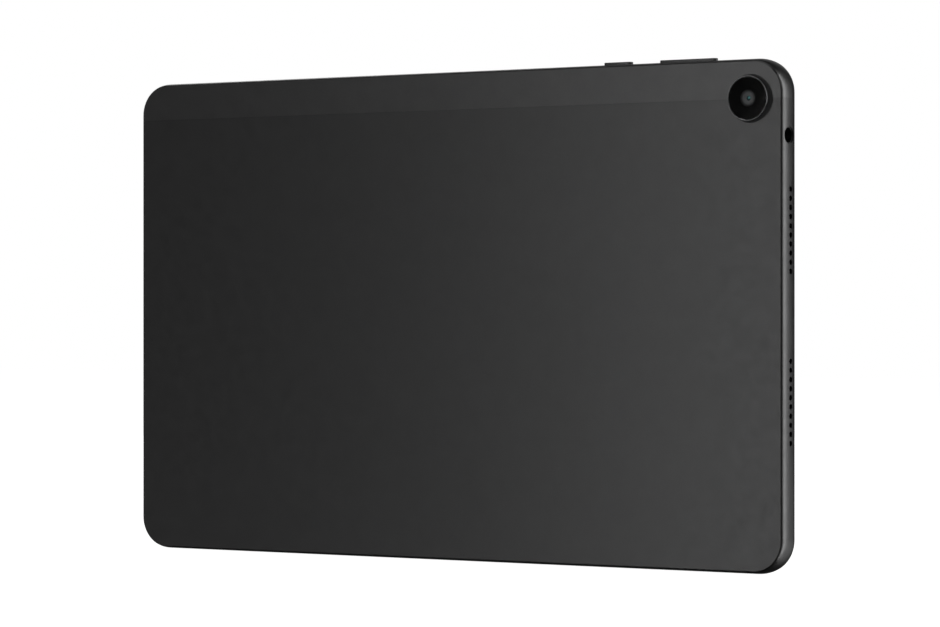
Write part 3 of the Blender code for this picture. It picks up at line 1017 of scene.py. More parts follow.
LAMP = Finish("lamp_resin", "light_guide", (0.85, 0.8, 0.45), 0.3, mottle=MM)
GUIDE = Dotted(
    "printed_guide", "light_guide", (0.74, 0.77, 0.8), 0.2, dots=1.6 * MM, dot=(0.92, 0.94, 0.95)
)
GRAPHITE = Finish(
    "graphite_film", "graphite", (0.035, 0.035, 0.037), 0.38, 0.6,
    mottle=9 * MM, mottle_strength=0.25, grain=0.8 * MM, depth=0.01 * MM,
)
FOIL = Finish(
    "pouch_foil", "battery_foil", (0.32, 0.325, 0.33), 0.34, 0.85,
    mottle=14 * MM, mottle_strength=0.08, grain=2.5 * MM, depth=0.06 * MM,
)
TAPE = Finish("cell_tape", "black_plastic", (0.02, 0.02, 0.022), 0.42, mottle=3 * MM)
BOARD = Traced(
    "solder_mask", "circuit_board", (0.006, 0.03, 0.02), 0.38, trace=(0.012, 0.06, 0.036)
)
FLEX = Traced(
    "flex_film", "flex_copper", (0.26, 0.12, 0.025), 0.35, trace=(0.5, 0.24, 0.06), pitch=0.5 * MM
)
PANEL = Dotted(
    "dark_polariser", "panel", (0.004, 0.004, 0.0048), 0.2, dots=0.2 * MM, depth=0.0002 * MM,
    dot=(0.006, 0.006, 0.0068), shine=0.12,
)


def hand_over(
    piece: Object,
    finish: Finish,
    nodes: Iterable[str] = (),
    body: str = TABLET,
    sharp: float = 32.0,
) -> Object:
    """Dress a finished piece and tie it to the frame.

    Args:
        piece: the piece, in place.
        finish: its finish.
        nodes: the frame's nodes that it stands for.
        body: the body that it rides on.
        sharp: the angle in degrees past which an edge stays sharp.

    Returns:
        The piece.
    """
    if not piece.data.materials:
        piece.data.materials.append(finish.material())
    piece.data.shade_smooth()
    piece.data.set_sharp_from_angle(angle=radians(sharp))
    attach(piece, body)
    names = list(nodes)
    if names:
        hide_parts(*names)
    log.info("%s: %d faces on %s", piece.name, len(piece.data.polygons), body)
    return piece


def dress(node: str, finish: Finish) -> None:
    """Give one of the frame's own nodes a finish.

    Args:
        node: the node.
        finish: its finish.
    """
    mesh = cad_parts[node].data
    for place in range(len(mesh.materials)):
        mesh.materials[place] = finish.material()
    log.info("%s: dressed in %s", node, finish.name)


def middle(node: str) -> Vector:
    """Return the middle of a frame node's box."""
    low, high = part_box(node)
    return (low + high) / 2


# Casing


@dataclass
class Casing:
    """The metal back and the plastic band that closes it along the top."""

    curve_inset: float = 1.09 * MM
    curve_depth: float = 5.0 * MM
    belly: float = 0.24 * MM
    rim_start: float = 7.42 * MM
    rim_radius: float = 0.26 * MM
    corner_radius: float = 10.5 * MM
    corner_steps: int = 20
    wall_inset: float = 2.3 * MM
    ledge_depth: float = 6.3 * MM
    lip_inset: float = 1.0 * MM
    floor_depth: float = 0.9 * MM
    floor_fillet: float = 0.6 * MM
    support: float = 0.35 * MM
    seam: float = 0.05 * MM
    chamfer: float = 0.06 * MM
    hole_radius: float = 0.86 * MM
    hole_pitch: float = 2.765 * MM
    hole_depth: float = 4.6 * MM
    holes: int = 10
    jack_radius: float = 2.3 * MM
    jack_dish: float = 2.6 * MM
    jack_seat: float = 0.38 * MM
    jack_depth: float = 3.75 * MM
    port_size: Point2 = (3.2 * MM, 9.0 * MM)
    tray_gap: float = 0.12 * MM
    mic_radius: float = 0.5 * MM
    key_gap: float = 0.1 * MM
    camera_gap: float = 0.015 * MM
    gasket_depth: float = 0.07 * MM
    gasket_share: float = 0.45
    rim_turn: float = 80.0
    rim_steps: int = 6
    curve_steps: int = 26
    curve_crowding: float = 1.35
    fillet_steps: int = 4
    on_surface: float = 0.02 * MM
    same_way: float = 0.93

    def __post_init__(self) -> None:
        """Read the body's outer sizes from the frame."""
        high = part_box("rear_housing")[1]
        band_low, band_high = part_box("antenna_cover")
        self.back = high.y
        self.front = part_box("cover_glass")[0].y
        self.half_width = high.x
        self.height = band_high.z
        self.thickness = self.back - self.front
        self.seam_level = (high.z + band_low.z) / 2
        self.middle = (0.0, self.back, self.height / 2)

    def curve(self) -> list[Point2]:
        """Return (inset, depth) points of the outside, from the front edge round to the back.

        Returns:
            The points.
        """
        points = []
        rise = self.rim_start - self.curve_depth
        lean = atan(2 * self.belly / rise)
        for step in range(self.rim_steps + 1):
            along = step / self.rim_steps
            angle = radians(self.rim_turn) * (1 - along) + lean * along
            inset = self.belly + self.rim_radius * (cos(lean) - cos(angle))
            lift = self.rim_radius * (sin(angle) - sin(lean))
            points.append((inset, self.rim_start + lift))
        for step in range(1, self.rim_steps + 1):
            along = 1 - step / self.rim_steps
            points.append((self.belly * along**2, self.curve_depth + rise * along))
        for step in range(1, self.curve_steps + 1):
            angle = QUARTER_TURN * (1 - step / self.curve_steps) ** self.curve_crowding
            points.append((self.curve_at(angle), self.curve_depth * (1 - cos(angle))))
        return points

    def curve_at(self, angle: float) -> float:
        """Return how far in the back's curve lies where it has turned by an angle from the back."""
        return self.curve_inset * (1 - sin(angle))

    def section(self) -> list[Point2]:
        """Return the whole section, from the inner floor over the rim to the outer back.

        Returns:
            Its (inset, depth) points.
        """
        outside = self.curve()
        fillet = []
        for step in range(self.fillet_steps + 1):
            angle = QUARTER_TURN * step / self.fillet_steps
            inset = self.wall_inset + self.floor_fillet * (1 - sin(angle))
            fillet.append((inset, self.floor_depth + self.floor_fillet * (1 - cos(angle))))
        rim = outside[0][1]
        inside = [(self.wall_inset + self.floor_fillet + self.support, self.floor_depth), *fillet]
        inside += [(self.wall_inset, self.ledge_depth), (self.lip_inset, self.ledge_depth)]
        inside += [(self.lip_inset, rim - self.chamfer), (self.lip_inset - self.chamfer, rim)]
        return inside + outside + [(self.curve_inset + self.support, 0.0)]

    def shell(self, name: str) -> Object:
        """Return the whole casing before it is parted, swept round its outline."""
        return swept(name, self.section(), self, closed=False)

    def speaker_cutters(self) -> list[Object]:
        """Return the drills for the four groups of speaker holes.

        Returns:
            One drill for each group.
        """
        made = []
        for name, side in SPEAKERS.items():
            rim = side * self.half_width
            wall = side * (self.half_width - self.wall_inset - CUTTER_REACH)
            edge = self.hole_radius + self.chamfer
            section = [
                (self.hole_radius, wall), (self.hole_radius, rim - side * self.chamfer),
                (edge, rim), (edge, rim + side * CUTTER_REACH),
            ]
            centre = (self.back - self.hole_depth, middle(f"speaker_mesh_{name}").z)
            drill = Skin().turn(section, Axis.X, centre, 20).item("drill")
            step = (0.0, 0.0, self.hole_pitch)
            made.append(grow(drill, row_recipe(), count=self.holes, step=step))
        return made

    def jack_cutter(self) -> Object:
        """Return the drill for the headphone hole and its shallow dish.

        Returns:
            The drill.
        """
        centre = (self.back - self.jack_depth, middle("headphone_jack").z)
        wall, rim = -(self.half_width - self.wall_inset - CUTTER_REACH), -self.half_width
        section = [
            (self.jack_radius, wall), (self.jack_radius, rim + self.jack_seat + self.chamfer),
            (self.jack_radius + self.chamfer, rim + self.jack_seat),
            (self.jack_dish, rim + self.jack_seat), (self.jack_dish, rim - CUTTER_REACH),
        ]
        return Skin().turn(section, Axis.X, centre).item("jack_drill")

    def flared(
        self, axis: Axis, plain: list[Point2], wide: list[Point2], rim: float, name: str
    ) -> Object:
        """Return a cutter through the wall that widens into a small chamfer at the outside.

        Args:
            axis: the line that it cuts along, outward.
            plain: its outline.
            wide: the chamfer's outline at the outside.
            rim: where the outside lies on the axis.
            name: the cutter's name.

        Returns:
            The cutter.
        """
        levels = [
            (plain, rim - self.wall_inset - CUTTER_REACH), (plain, rim - self.chamfer * 2),
            (wide, rim), (wide, rim + CUTTER_REACH),
        ]
        return Skin().stack(axis, levels).item(name)

    def slot_cutter(self, centre: Point2, size: Point2, name: str) -> Object:
        """Return a cutter for a round-ended slot in the +X side.

        Args:
            centre: its middle in Y and Z.
            size: its width and height.
            name: the cutter's name.

        Returns:
            The cutter.
        """
        low = (centre[0] - size[0] / 2, centre[1] - size[1] / 2)
        high = (centre[0] + size[0] / 2, centre[1] + size[1] / 2)
        radius, flare = size[0] / 2, self.chamfer * 2
        wide = rounded(*grown(low, high, flare), radius + flare, SLOT_STEPS)
        plain = rounded(low, high, radius, SLOT_STEPS)
        return self.flared(Axis.X, plain, wide, self.half_width, name)

    def port_cutters(self) -> list[Object]:
        """Return the cutters of every hole in the short sides.

        Returns:
            The cutters.
        """
        port, mic = middle("usb_c_shell"), middle("microphone")
        low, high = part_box("card_tray")
        door = ((low.y + high.y) / 2, (low.z + high.z) / 2)
        door_size = (high.y - low.y + 2 * self.tray_gap, high.z - low.z + 2 * self.tray_gap)
        wall = self.half_width - self.wall_inset - CUTTER_REACH
        outline = circle((mic.y, mic.z), self.mic_radius, 20)
        mic_hole = Skin().push(outline, Axis.X, wall, self.half_width + CUTTER_REACH)
        return [
            self.slot_cutter((port.y, port.z), self.port_size, "port_cutter"),
            self.slot_cutter(door, door_size, "tray_cutter"),
            mic_hole.item("mic_drill"),
            self.jack_cutter(),
            *self.speaker_cutters(),
        ]

    def camera_cutter(self) -> Object:
        """Return the drill for the rear camera's opening.

        Returns:
            The drill.
        """
        low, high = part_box("rear_camera_surround")
        centre = ((low.x + high.x) / 2, (low.z + high.z) / 2)
        outline = circle(centre, (high.x - low.x) / 2 + self.camera_gap, 96)
        floor = self.back - self.floor_depth - CUTTER_REACH
        return Skin().push(outline, Axis.Y, floor, self.back + CUTTER_REACH).item("camera_drill")

    def key_cutters(self) -> list[Object]:
        """Return the cutters of the two key openings in the top edge.

        Returns:
            The cutters.
        """
        made = []
        for node in ("power_button", "volume_button"):
            size = key_size(node)
            wide = size.outline(self.key_gap + self.chamfer * 2)
            plain = size.outline(self.key_gap)
            made.append(self.flared(Axis.Z, plain, wide, self.height, node + "_cutter"))
        return made

    def outside_normal(self, point: Vector) -> Vector | None:
        """Return the true normal of the outside at a point.

        Args:
            point: a place on the casing.

        Returns:
            The normal, or None where the point isn't on the back or its curved side.
        """
        half_width = self.half_width - self.corner_radius
        half_height = self.height / 2 - self.corner_radius
        level = point.z - self.height / 2
        away = Vector((
            point.x - max(-half_width, min(half_width, point.x)), 0.0,
            level - max(-half_height, min(half_height, level)),
        ))
        depth, inset = self.back - point.y, self.corner_radius - away.length
        if depth < self.on_surface and inset > self.curve_inset - self.on_surface:
            return Vector((0.0, 1.0, 0.0))
        if depth <= self.curve_depth:
            angle = acos(max(-1.0, min(1.0, 1 - depth / self.curve_depth)))
            place = self.curve_at(angle)
            lean = Vector((self.curve_depth * sin(angle), self.curve_inset * cos(angle)))
        elif depth <= self.rim_start:
            reach = self.rim_start - self.curve_depth
            along = (depth - self.curve_depth) / reach
            place = self.belly * along**2
            lean = Vector((1.0, -2 * self.belly * along / reach))
        else:
            return None
        if abs(inset - place) > self.on_surface:
            return None
        return (away.normalized() * lean.x + Vector((0.0, lean.y, 0.0))).normalized()

    def true_up(self, item: Object) -> None:
        """Give the outside its true normals, so that it shades evenly round every hole.

        Args:
            item: the housing or the band.
        """
        mesh = item.data
        normals = [corner.vector.copy() for corner in mesh.corner_normals]
        for polygon in mesh.polygons:
            for loop in polygon.loop_indices:
                point = mesh.vertices[mesh.loops[loop].vertex_index].co
                true = self.outside_normal(point)
                if true is not None and true.dot(polygon.normal) > self.same_way:
                    normals[loop] = true
        mesh.normals_split_custom_set(normals)

    def gasket(self) -> None:
        """Build the thin black gasket in the seam, sunk a little below the outside."""
        gasket = self.shell("seam_gasket")
        slack = self.seam * self.gasket_share
        halve(gasket, self.seam_level - slack, True)
        halve(gasket, self.seam_level + slack, False)
        narrow = 1 - self.gasket_depth / self.half_width
        thin = 1 - 2 * self.gasket_depth / self.thickness
        centre = (self.back + self.front) / 2
        for vertex in gasket.data.vertices:
            vertex.co.x *= narrow
            vertex.co.y = centre + (vertex.co.y - centre) * thin
        hand_over(carve(gasket, self.camera_cutter()), RUBBER)

    def build(self) -> None:
        """Build the housing, the band and the gasket between them."""
        housing = self.shell("housing_shell")
        halve(housing, self.seam_level - self.seam / 2, False)
        carve(housing, joined("housing_cutters", *self.port_cutters(), self.camera_cutter()))
        hand_over(housing, HOUSING, ["rear_housing"])
        self.true_up(housing)
        band = self.shell("band_shell")
        halve(band, self.seam_level + self.seam / 2, True)
        carve(band, joined("band_cutters", *self.key_cutters(), self.camera_cutter()))
        hand_over(band, BAND, ["antenna_cover"])
        self.true_up(band)
        self.gasket()


def swept(
    name: str, section: Sequence[Point2], casing: Casing, closed: bool
) -> Object:
    """Sweep a section of (inset, depth) points round the body's outline.

    Args:
        name: the object's name.
        section: the points.
        casing: the casing, which gives the outline.
        closed: True joins the last point to the first.

    Returns:
        The swept object, open at its two end loops unless the section is closed.
    """
    last = len(section) - 1
    edges = [(i, i + 1) for i in range(last)]
    if closed:
        edges.append((last, 0))
    line = bpy.data.meshes.new(name)
    line.from_pydata([(-inset, -depth, 0.0) for inset, depth in section], edges, [])
    item = put(name, line)
    grow(
        item,
        rim_recipe(),
        width=casing.half_width * 2,
        height=casing.height,
        corner_radius=casing.corner_radius,
        corner_steps=casing.corner_steps,
        middle=casing.middle,
    )
    close_holes(item)
    return item


# Keys


@dataclass
class KeySize:
    """The outline of a key on the top edge."""

    low: Vector
    high: Vector
    flange: float = 0.7 * MM

    def outline(self, grow_by: float = 0.0) -> list[Point2]:
        """Return the cap's round-ended outline, made larger by a distance.

        Args:
            grow_by: the distance.

        Returns:
            The outline.
        """
        low = (self.low.x + self.flange, self.low.y + self.flange)
        high = (self.high.x - self.flange, self.high.y - self.flange)
        radius = (high[1] - low[1]) / 2 + grow_by
        return rounded(*grown(low, high, grow_by), radius, CAP_STEPS)


def key_size(node: str) -> KeySize:
    """Return a key's size from its node."""
    low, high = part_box(node)
    return KeySize(low, high)


@dataclass
class Keys:
    """The power and volume keys on the top edge."""

    flange_height: float = 0.5 * MM
    crown: float = 0.16 * MM
    edge: float = 0.14 * MM
    crown_steps: int = 5

    def cap(self, node: str, body: str) -> None:
        """Build one key with a flange, a straight skirt and a softly crowned top.

        Args:
            node: the key's node.
            body: the body that it rides on.
        """
        size = key_size(node)
        step_level, top = size.low.z + self.flange_height, size.high.z - self.crown
        flange = size.outline(size.flange)
        levels = [(flange, size.low.z), (flange, step_level), (size.outline(), step_level)]
        for step in range(self.crown_steps + 1):
            angle = QUARTER_TURN * step / self.crown_steps
            shrink = self.edge * (1 - cos(angle))
            levels.append((size.outline(-shrink), top + self.crown * sin(angle)))
        key = Skin().stack(Axis.Z, levels).item(node.replace("_button", "_key"))
        hand_over(key, HOUSING, [node], body)

    def build(self) -> None:
        """Build both keys."""
        self.cap("power_button", "power_key")
        self.cap("volume_button", "volume_key")


# Screen side


@dataclass
class Screen:
    """Cover glass, its printed border, the ring round it, and the panel and lamp behind."""

    casing: Casing
    glass_inset: float = 2.0 * MM
    edge_radius: float = 0.25 * MM
    edge_steps: int = 6
    ring_outer: float = 1.03 * MM
    ring_inner: float = 1.93 * MM
    ring_shelf: float = 4.2 * MM
    ring_bevel: float = 0.08 * MM
    shelf_thickness: float = 0.25 * MM
    print_gap: float = 0.005 * MM
    print_thickness: float = 0.03 * MM
    print_corner: float = 8.4 * MM
    picture_corner: float = 0.4 * MM
    active_side: float = 10.22 * MM
    active_edge: float = 10.4 * MM
    camera_window: float = 1.35 * MM
    sensor_window: float = 0.7 * MM
    lens_radius: float = 0.72 * MM
    lens_rise: float = 0.22 * MM
    sheet_step: float = 0.4 * MM
    sheet_ledge: float = 2.2 * MM
    sheet_overlap: float = 0.001 * MM
    sheet_bevel: float = 0.02 * MM
    strip_thickness: float = 0.12 * MM
    led_half: Point3 = (1.5 * MM, 0.13 * MM, 0.45 * MM)
    led_sink: float = 0.26 * MM
    led_drop: float = 0.6 * MM
    led_count: int = 40
    led_pitch: float = 5.6 * MM
    pan_wall: float = 0.2 * MM
    rib_half_width: float = 1.6 * MM
    rib_margin: float = 12 * MM
    rib_rise: float = 0.12 * MM
    rib_root: float = 0.05 * MM
    rib_count: int = 9
    rib_pitch: float = 24 * MM

    def glass(self) -> None:
        """Build the cover glass with its rounded front edge."""
        low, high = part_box("cover_glass")
        back, front = self.casing.back - high.y, self.casing.back - low.y
        inset, radius = self.glass_inset, self.edge_radius
        section = [(inset + radius * 2, back), (inset, back), (inset, front - radius)]
        for step in range(1, self.edge_steps + 1):
            angle = QUARTER_TURN * step / self.edge_steps
            shrink = radius * (1 - cos(angle))
            section.append((inset + shrink, front - radius + radius * sin(angle)))
        section.append((inset + radius * 2.5, front))
        glass = swept("front_glass", section, self.casing, closed=False)
        hand_over(glass, GLASS, ["cover_glass"])

    def ring(self) -> None:
        """Build the plastic ring that the glass lies in."""
        low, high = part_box("bezel_frame")
        floor, top = self.casing.back - high.y, self.casing.back - low.y
        outer, inner, bevel = self.ring_outer, self.ring_inner, self.ring_bevel
        shelf = floor + self.shelf_thickness
        section = [
            (outer, floor), (outer, top - bevel), (outer + bevel, top), (inner - bevel, top),
            (inner, top - bevel), (inner, shelf), (self.ring_shelf, shelf), (self.ring_shelf, floor),
        ]
        ring = swept("bezel_ring", section, self.casing, closed=True)
        hand_over(ring, BEZEL, ["bezel_frame"])

    def black_print(self) -> None:
        """Build the black print behind the glass, open over the picture and the front camera."""
        glass_low, glass_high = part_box("cover_glass")
        level = glass_high.y + self.print_gap
        deep = level + self.print_thickness
        outside = rounded(*footprint(glass_low, glass_high, Axis.Y), self.print_corner, 12)
        width, height = self.casing.half_width, self.casing.height
        low = (self.active_side - width, self.active_edge)
        high = (width - self.active_side, height - self.active_edge)
        inside = rounded(low, high, self.picture_corner, 12)
        levels = [(outside, level), (outside, deep), (inside, deep), (inside, level)]
        ink = Skin().stack(Axis.Y, levels, hollow=True).item("border_print")
        holes = Skin()
        windows = (("front_camera", self.camera_window), ("light_sensor", self.sensor_window))
        for node, radius in windows:
            centre = middle(node)
            outline = circle((centre.x, centre.z), radius, 40)
            holes.push(outline, Axis.Y, level - MM, level + MM)
        hand_over(carve(ink, holes.item("windows")), INK)

    def panel(self) -> None:
        """Build the liquid crystal panel: two glass sheets of unequal height."""
        low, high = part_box("lcd_panel")
        split = (low.y + high.y) / 2
        sheets, step = Skin(), self.sheet_step
        sheets.slab(Vector((low.x, split, low.z)), high, 0.5 * MM, self.sheet_bevel, 3)
        front_low = Vector((low.x + step, low.y, low.z + self.sheet_ledge))
        front_high = Vector((high.x - step, split + self.sheet_overlap, high.z - step))
        sheets.slab(front_low, front_high, step, self.sheet_bevel, 3)
        hand_over(sheets.item("display_panel"), PANEL, ["lcd_panel"])

    def lamp(self) -> None:
        """Build the light guide, the lamp strip under it and its row of lamps."""
        low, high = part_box("light_guide")
        guide = Skin().slab(low, high, 0.8 * MM, 0.05 * MM, 3)
        hand_over(guide.item("guide_plate"), GUIDE, ["light_guide"])
        low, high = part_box("backlight_led_strip")
        strip_low = Vector((low.x, high.y - self.strip_thickness, low.z))
        tape = Skin().slab(strip_low, high, 0.5 * MM, 0.01 * MM, 3)
        hand_over(tape.item("lamp_strip"), FLEX, ["backlight_led_strip"])
        body = Vector(self.led_half)
        centre = Vector((0.0, high.y - self.led_sink, high.z - self.led_drop))
        led = Skin().slab(centre - body, centre + body, 0.1 * MM, 0.03 * MM, 1).item("lamps")
        hand_over(row(led, self.led_count, (self.led_pitch, 0.0, 0.0)), LAMP)

    def pan(self) -> None:
        """Build the pressed pan behind the lamp, with stiffening ribs across it."""
        low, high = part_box("backlight_pan")
        pan = Skin().pan(low, high, self.pan_wall, 2 * MM).item("lamp_pan_sheet")
        centre = (low + high) / 2
        half = Vector((self.rib_half_width, 0.0, (high.z - low.z) / 2 - self.rib_margin))
        rib_low = Vector((centre.x - half.x, high.y - self.rib_root, centre.z - half.z))
        rib_high = Vector((centre.x + half.x, high.y + self.rib_rise, centre.z + half.z))
        rib = Skin().slab(rib_low, rib_high, 1.5 * MM, 0.1 * MM, 5).item("rib")
        row(rib, self.rib_count, (self.rib_pitch, 0.0, 0.0))
        hand_over(joined("lamp_pan", pan, rib), SHEET, ["backlight_pan"])

    def front_camera(self) -> None:
        """Build the front camera: a square base, a stepped barrel and its lens."""
        low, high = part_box("front_camera")
        centre = middle("front_camera")
        point = (centre.x, centre.z)
        body = Skin().slab(Vector((low.x, high.y - 2 * MM, low.z)), high, 0.4 * MM, 0.12 * MM)
        barrel = [
            (2.1 * MM, high.y - 1.9 * MM), (2.1 * MM, low.y + 0.5 * MM), (1.5 * MM, low.y + 0.4 * MM),
            (1.5 * MM, low.y), (1.1 * MM, low.y), (0.75 * MM, low.y + 0.35 * MM),
        ]
        body.turn(barrel, Axis.Y, point, 40)
        hand_over(body.item("front_camera_body"), MOULDED, ["front_camera"])
        dome = []
        for angle in (0.0, 0.35, 0.7, 1.05, 1.4):
            level = low.y + 0.3 * MM - self.lens_rise * sin(angle)
            dome.append((self.lens_radius * cos(angle), level))
        # The front lens's coating gets a faint painted glint round its middle.
        finish = PaintedGlintLens(
            "front_lens_coating", "lens_glass", (0.002, 0.006, 0.012), 0.06,
            spot=(centre.x, 0.0, centre.z), glow=(0.01, 0.03, 0.06),
        )
        hand_over(Skin().turn(dome, Axis.Y, point, 32).item("front_camera_lens"), finish)
        low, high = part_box("light_sensor")
        sensor = Skin().slab(low, high, 0.2 * MM, 0.05 * MM).item("light_sensor_body")
        hand_over(sensor, CHIP, ["light_sensor"])

    def build(self) -> None:
        """Build the screen side."""
        self.glass()
        self.ring()
        self.black_print()
        self.panel()
        self.lamp()
        self.pan()
        self.front_camera()


# Rear camera


@dataclass
class RearCamera:
    """The raised camera: a turned surround, a black-backed window, the lens and its module."""

    casing: Casing
    rim_radius: float = 6.88 * MM
    window_radius: float = 6.6 * MM
    barrel_radius: float = 2.6 * MM
    lens_radius: float = 0.72 * MM
    lip: float = 0.26 * MM
    lip_lean: float = 0.07 * MM
    lip_gap: float = 0.005 * MM
    lip_edge: float = 0.03 * MM
    bore_radius: float = 2.9 * MM
    window_gap: float = 0.04 * MM
    window_sink: float = 0.03 * MM
    shelf_drop: float = 0.42 * MM
    window_bevel: float = 0.14 * MM
    mask_gap: float = 0.05 * MM
    mask_thickness: float = 0.05 * MM
    flare_steps: int = 8
    flare_power: int = 3
    # How far the lens's painted glint lies from its middle.
    painted_glint_offset: float = 0.28 * MM
    lens_turn: float = 82.0
    lens_rise: float = 0.22 * MM
    lens_edge: float = 0.05 * MM
    lens_drop: float = 0.55 * MM
    body_drop: float = 1.2 * MM
    barrel_drop: float = 1.3 * MM
    sill: float = 1.45 * MM

    def __post_init__(self) -> None:
        """Read the camera's place from the frame."""
        low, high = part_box("rear_camera_surround")
        self.centre = ((low.x + high.x) / 2, (low.z + high.z) / 2)
        self.base_radius = (high.x - low.x) / 2
        self.floor = low.y
        self.top = high.y
        self.axis = (self.centre[0], 0.0, self.centre[1])

    def turned(
        self, name: str, section: Sequence[Point2], hollow: bool = False
    ) -> Object:
        """Return a piece turned about the camera's axis."""
        return Skin().turn(section, Axis.Y, self.centre, 96, hollow).item(name)

    def surround(self) -> None:
        """Build the surround, with a flared skirt and a stepped bore, and the polished lip on it."""
        back, rim = self.casing.back, self.rim_radius
        seat = self.top - self.lip
        skirt = []
        for step in range(self.flare_steps + 1):
            along = step / self.flare_steps
            flare = (self.base_radius - rim) * (1 - along) ** self.flare_power
            skirt.append((rim + flare, back + (seat - back) * along))
        inner, shelf = self.window_radius + self.window_gap, back + self.sill - self.shelf_drop
        section = [
            (self.bore_radius, self.floor), (self.bore_radius, shelf), (inner, shelf),
            (inner, seat), *reversed(skirt), (self.base_radius, self.floor),
        ]
        finish = TurnedMetal(
            "camera_ring_metal", "camera_metal", (0.11, 0.111, 0.113), 0.5, 0.35,
            mottle_strength=0.05, depth=0.001 * MM, centre=self.axis,
        )
        ring = self.turned("camera_surround", section, hollow=True)
        hand_over(ring, finish, ["rear_camera_surround"], sharp=25)
        lean, edge = rim - self.lip_lean, self.lip_edge
        section = [
            (inner, seat + self.lip_gap), (inner, self.top - edge), (inner + edge, self.top),
            (lean - edge, self.top), (lean, self.top - 0.02 * MM), (rim, seat + self.lip_gap),
        ]
        finish = TurnedMetal(
            "polished_camera_lip", "camera_metal", (0.21, 0.211, 0.214), 0.26, 1.0,
            mottle_strength=0.05, depth=0.0005 * MM, centre=self.axis,
        )
        hand_over(self.turned("camera_lip", section, hollow=True), finish, sharp=25)

    def window(self) -> None:
        """Build the window with a chamfered edge."""
        top, radius = self.top - self.window_sink, self.window_radius
        section = [
            (radius, self.casing.back + self.sill + 0.06 * MM), (radius, top - 0.12 * MM),
            (radius - 0.04 * MM, top - 0.04 * MM), (radius - self.window_bevel, top),
        ]
        hand_over(self.turned("camera_window", section), GLASS, ["rear_camera_window"], sharp=20)

    def mask(self) -> None:
        """Build the black print behind the window, open over the lens."""
        level, thin = self.casing.back + self.sill, self.mask_thickness
        inner, outer = self.barrel_radius, self.window_radius - self.mask_gap
        section = [(inner, level - thin), (inner, level), (outer, level), (outer, level - thin)]
        hand_over(self.turned("camera_mask", section, hollow=True), INK)

    def lens(self) -> None:
        """Build the domed front lens, with a painted glint on its coating a little off its middle."""
        base = self.casing.back + self.sill - self.lens_drop
        section = [(self.lens_radius, base)]
        for step in range(9):
            angle = radians(self.lens_turn) * step / 8
            level = base + self.lens_edge + self.lens_rise * sin(angle)
            section.append((self.lens_radius * cos(angle), level))
        # The lens's painted glint lies up and to one side of its middle.
        aside, up = -self.painted_glint_offset, self.painted_glint_offset * 0.6
        finish = PaintedGlintLens(
            "rear_lens_coating", "lens_glass", (0.006, 0.07, 0.1), 0.06,
            spot=(self.centre[0] + aside, 0.0, self.centre[1] + up), glow=(0.22, 1.0, 1.0),
        )
        hand_over(self.turned("camera_lens", section), finish, ["rear_camera_lens"])

    def module(self) -> None:
        """Build the module: a square body, and a barrel whose face slopes in to the lens."""
        low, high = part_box("rear_camera_module")
        back, sill = self.casing.back, self.casing.back + self.sill
        body_high = Vector((high.x, back - self.body_drop, high.z))
        body = Skin().slab(low, body_high, 0.6 * MM, 0.15 * MM)
        radius, lens = self.barrel_radius, self.lens_radius + self.lens_edge
        face = [
            (radius, back - self.barrel_drop), (radius, sill - 0.2 * MM),
            (radius - 0.15 * MM, sill - 0.1 * MM), (lens + 0.75 * MM, sill - 0.17 * MM),
            (lens + 0.12 * MM, sill - 0.24 * MM), (lens, sill - 0.32 * MM), (lens, sill - 0.6 * MM),
        ]
        body.turn(face, Axis.Y, self.centre, 64)
        # The barrel's black face gets a grey painted sheen that fades to black towards its rim.
        finish = PaintedSheenDisc(
            "camera_barrel", "black_plastic", (0.44, 0.444, 0.45), 0.5, centre=self.axis, reach=radius
        )
        hand_over(body.item("camera_module"), finish, ["rear_camera_module"], sharp=50)

    def build(self) -> None:
        """Build the rear camera."""
        self.surround()
        self.window()
        self.mask()
        self.lens()
        self.module()


# Boards


@functools.cache
def scatter_recipe() -> NodeTree:
    """Scatter copies of an item over faces, some turned by a quarter and all of uneven size.

    Returns:
        The tree.
    """
    recipe = Recipe("scattered_parts")
    recipe.socket("Item", "NodeSocketObject")
    recipe.socket("Spacing", "NodeSocketFloat", 1.2 * MM)
    recipe.socket("Density", "NodeSocketFloat", 6.0e5)
    recipe.socket("Seed", "NodeSocketInt", 3)
    points = recipe.add(
        "GeometryNodeDistributePointsOnFaces",
        {
            "Mesh": recipe.given("Geometry"),
            "Distance Min": recipe.given("Spacing"),
            "Density Max": recipe.given("Density"),
            "Seed": recipe.given("Seed"),
        },
        distribute_method="POISSON",
    )
    turns = recipe.add(
        "FunctionNodeRandomValue", {4: 0, 5: 1, "Seed": recipe.given("Seed")}, data_type="INT"
    )
    angle = {0: turns.outputs[2], 1: QUARTER_TURN}
    quarter = recipe.add("ShaderNodeMath", angle, operation="MULTIPLY")
    turn = recipe.add("ShaderNodeCombineXYZ", {"Y": quarter.outputs[0]})
    sizes = recipe.add(
        "FunctionNodeRandomValue",
        {0: (0.6, 0.7, 0.6), 1: (1.5, 1.0, 1.3), "Seed": recipe.given("Seed")},
        data_type="FLOAT_VECTOR",
    )
    item = recipe.add("GeometryNodeObjectInfo", {"Object": recipe.given("Item")})
    copies = recipe.add(
        "GeometryNodeInstanceOnPoints",
        {
            "Points": points.outputs["Points"],
            "Instance": item.outputs["Geometry"],
            "Rotation": turn.outputs[0],
            "Scale": sizes.outputs[0],
        },
    )
    return recipe.finish(copies.outputs[0])


